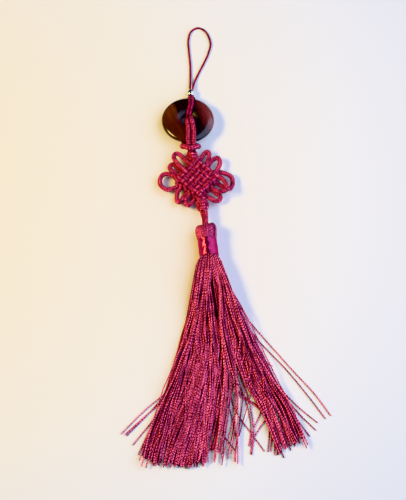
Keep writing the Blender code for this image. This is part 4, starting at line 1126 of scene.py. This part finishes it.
def comb_skirt(floss):
    """The skirt's threads, in small locks that lie nearly straight and cross one another."""
    chance = np.random.default_rng(21)
    lock_of, place_in = gather_locks(chance)
    locks = np.arange(lock_of[-1] + 1)
    # Steps that never come round, so that the locks fall evenly all over the skirt.
    starts, ranks = (locks * 0.7549) % 1, (locks * 0.5698) % 1
    stray = np.interp(ranks, (0, 1), LOCK_STRAYS)
    ends = np.abs(look_up(SPREAD, starts) + chance.normal(0, 1, len(locks)) * stray)
    ends = 1 - np.abs(1 - ends)
    loose = chance.uniform(0.0, 1.1, len(locks))
    sways = chance.uniform(0.05, 0.4, len(locks))
    waves = chance.uniform(50, 120, len(locks))
    phases = chance.uniform(0, 2 * np.pi, len(locks))
    own_starts = np.clip(starts[lock_of] + 0.03 * place_in, 0, 1)
    own_ranks = np.clip(ranks[lock_of] + chance.uniform(-0.1, 0.1, SKIRT_THREADS), 0, 1)
    roots = ROOT_RADIUS * pack_roots(own_starts, own_ranks)
    strands = []
    for index in range(SKIRT_THREADS):
        lock, place = lock_of[index], place_in[index]
        rank, end_share = ranks[lock], ends[lock]
        left_part = end_share < PARTING
        end = look_up(SKIRT_ENDS, end_share) + chance.uniform(-1, 1) * SKIRT_RAGGED
        down = np.linspace(-3.0, end, max(8, round((end + 3) / 3.2)))
        gone = np.clip((down - 6) / 95, 0, 1) ** 0.8
        # Each thread leaves the head by itself, and joins its lock further down.
        own_way, lock_way = (fan_across(start + (end_share - start) * gone, down, left_part)
                             for start in (own_starts[index], starts[lock]))
        lock_way += place * 2 * THREAD_RADIUS * (1 + loose[lock] * ease(down, 40, 110))
        lock_way += sways[lock] * ease(down, 20, 90) * ripple(down, waves[lock], phases[lock])
        across = own_way + (lock_way - own_way) * ease(down, 12, 45)
        wave = chance.uniform(16, 40)
        phase = chance.uniform(0, 2 * np.pi)
        across += chance.uniform(0.05, 0.2) * ease(down, 6, 40) * ripple(down, wave, phase)
        across += chance.normal(0, 0.5) * ease(down, 40, 105)
        across, rank = leave_lock(across, rank, down, end_share, chance)
        across = open_slit(keep_parted(across, down, left_part), down, rank)
        root_across, root_height = roots[index]
        across = root_across + (across - root_across) * ease(down, -0.4, 4.0)
        height = settle_down(down, rank, place, end_share, root_height)
        height += 0.2 * ripple(1.3 * down, wave, phase) * ease(down, 20, 40)
        height = np.maximum(height, THREAD_FLOOR)
        rows = np.stack([HEAD_END.x + across, HEAD_END.y - down, height], axis=1)
        points = smooth_route(rows, THREAD_SPACING, THREAD_FLOOR)
        # Threads are a little thinner where they are packed together.
        packed = 0.96 + 0.04 * ease(np.arange(len(points)) * THREAD_SPACING, 8, 35)
        rings = soft_strand(points, THREAD_RADIUS * packed, THREAD_SIDES, chance.uniform(0, 6))
        pitch = THREAD_SPACING * chance.uniform(0.8, 1.2)
        # Their tone is partly their own, by chance, and partly painted shade: brighter the higher they
        # lie. They are also duller at the skirt's left.
        tone = 0.55 * chance.integers(TONES) + 0.62 * TONES * np.max(rank) - 0.8
        duller = 1.2 if end_share < 0.35 else 0.0
        strands.append((rings, pitch, int(np.clip(tone - duller, 0, TONES - 1))))
    for rows, over in [(rows, False) for rows in STRAYS] + [(rows, True) for rows in CROSSING]:
        points = placed_route(rows, over)
        rings = soft_strand(points, THREAD_RADIUS * PLACED_FULLNESS, THREAD_SIDES,
                            chance.uniform(0, 6))
        strands.append((rings, THREAD_SPACING, int(chance.integers(2, TONES))))
    finished(strand_mesh("skirt_threads", strands), floss, "thread", "tassel")


# ---- camera, lights and table -----------------------------------------------------------------

CAMERA_TARGET = Vector((-11.0, 10.5, 0.0))
CAMERA_DISTANCE = 800.0
CAMERA_ELEVATION = math.radians(65.0)
VIEW_HEIGHT = 250.0            # of what the picture takes in at the target
SENSOR = 36.0


def towards(azimuth, elevation):
    """The direction from the target at an azimuth from +Y clockwise and an elevation, in degrees."""
    turn, rise = math.radians(azimuth), math.radians(elevation)
    return Vector((math.sin(turn) * math.cos(rise), math.cos(turn) * math.cos(rise),
                   math.sin(rise)))


def set_camera():
    data = bpy.data.cameras.new("camera")
    data.sensor_width = SENSOR
    data.lens = SENSOR * CAMERA_DISTANCE / VIEW_HEIGHT
    data.clip_start = 0.01
    camera = bpy.data.objects.new("camera", data)
    bpy.context.scene.collection.objects.link(camera)
    back = Vector((0, -math.cos(CAMERA_ELEVATION), math.sin(CAMERA_ELEVATION)))
    camera.location = in_frame(CAMERA_TARGET + back * CAMERA_DISTANCE)
    camera.rotation_euler = (math.pi / 2 - CAMERA_ELEVATION, 0, 0)
    bpy.context.scene.camera = camera


def hang_light(name, aim, azimuth, elevation, distance, size, power, colour, spread):
    data = bpy.data.lights.new(name, "AREA")
    data.shape = "RECTANGLE"
    data.size, data.size_y = size
    data.energy = power
    data.color = linear(colour)[:3]
    data.spread = math.radians(spread)
    light = bpy.data.objects.new(name, data)
    bpy.context.scene.collection.objects.link(light)
    direction = towards(azimuth, elevation)
    light.location = in_frame(aim) + direction * distance
    light.rotation_euler = direction.to_track_quat("Z", "Y").to_euler()


def light_the_table():
    hang_light("warm lamp", aim=(-75, 60, 0), azimuth=-101, elevation=46, distance=0.5,
               size=(0.26, 0.17), power=0.62, colour="#ffe08c", spread=74)
    hang_light("cool window", aim=(60, 50, 0), azimuth=98, elevation=44, distance=0.62,
               size=(1.3, 0.95), power=11.4, colour="#cddcff", spread=180)
    world = bpy.data.worlds.new("room")
    world.use_nodes = True
    background = world.node_tree.nodes["Background"]
    background.inputs["Color"].default_value = linear("#f2f2ff")
    background.inputs["Strength"].default_value = 0.06
    bpy.context.scene.world = world
    bpy.context.scene.view_settings.view_transform = "Khronos PBR Neutral"


def lay_table():
    bpy.ops.object.select_all(action="DESELECT")
    bpy.ops.mesh.primitive_plane_add(size=6.0)
    table = bpy.context.active_object
    table.name = "table_top"
    laminate = {"Base Color": linear("#f6f5f3"), "Roughness": 0.8}
    table.data.materials.append(new_material("matt white laminate", laminate)[0])


set_camera()
light_the_table()
lay_table()
CORD_SATIN = braided_satin("satin-braided nylon cord", CARRIERS, "#a81438", "#fc7098")
THIN_SATIN = braided_satin("fine satin-braided cord", THIN_CARRIERS, "#9c1e42", "#c84470")
FLOSS = twisted_floss("twisted viscose floss", 1.4, 4.0, "#840c1a", "#f6749c")
CAP_FLOSS = twisted_floss("twisted viscose floss, pulled tight", 1.3, 1.3, "#6c0418", "#f66c9c")
STONE = polished_stone("polished red tiger's eye")
SILVER = silver_plate("polished silver plate")
BAND_THREAD = wound_satin("wound rayon thread")
DEEP_FLOSS = shaded_floss("viscose floss in shadow")
hang_loop(THIN_SATIN)
turn_bead(SILVER)
tie_hanger_hitch(THIN_SATIN)
cut_stone_ring(STONE)
tie_knots(CORD_SATIN)
wrap_head(CAP_FLOSS, DEEP_FLOSS, BAND_THREAD)
comb_skirt(FLOSS)
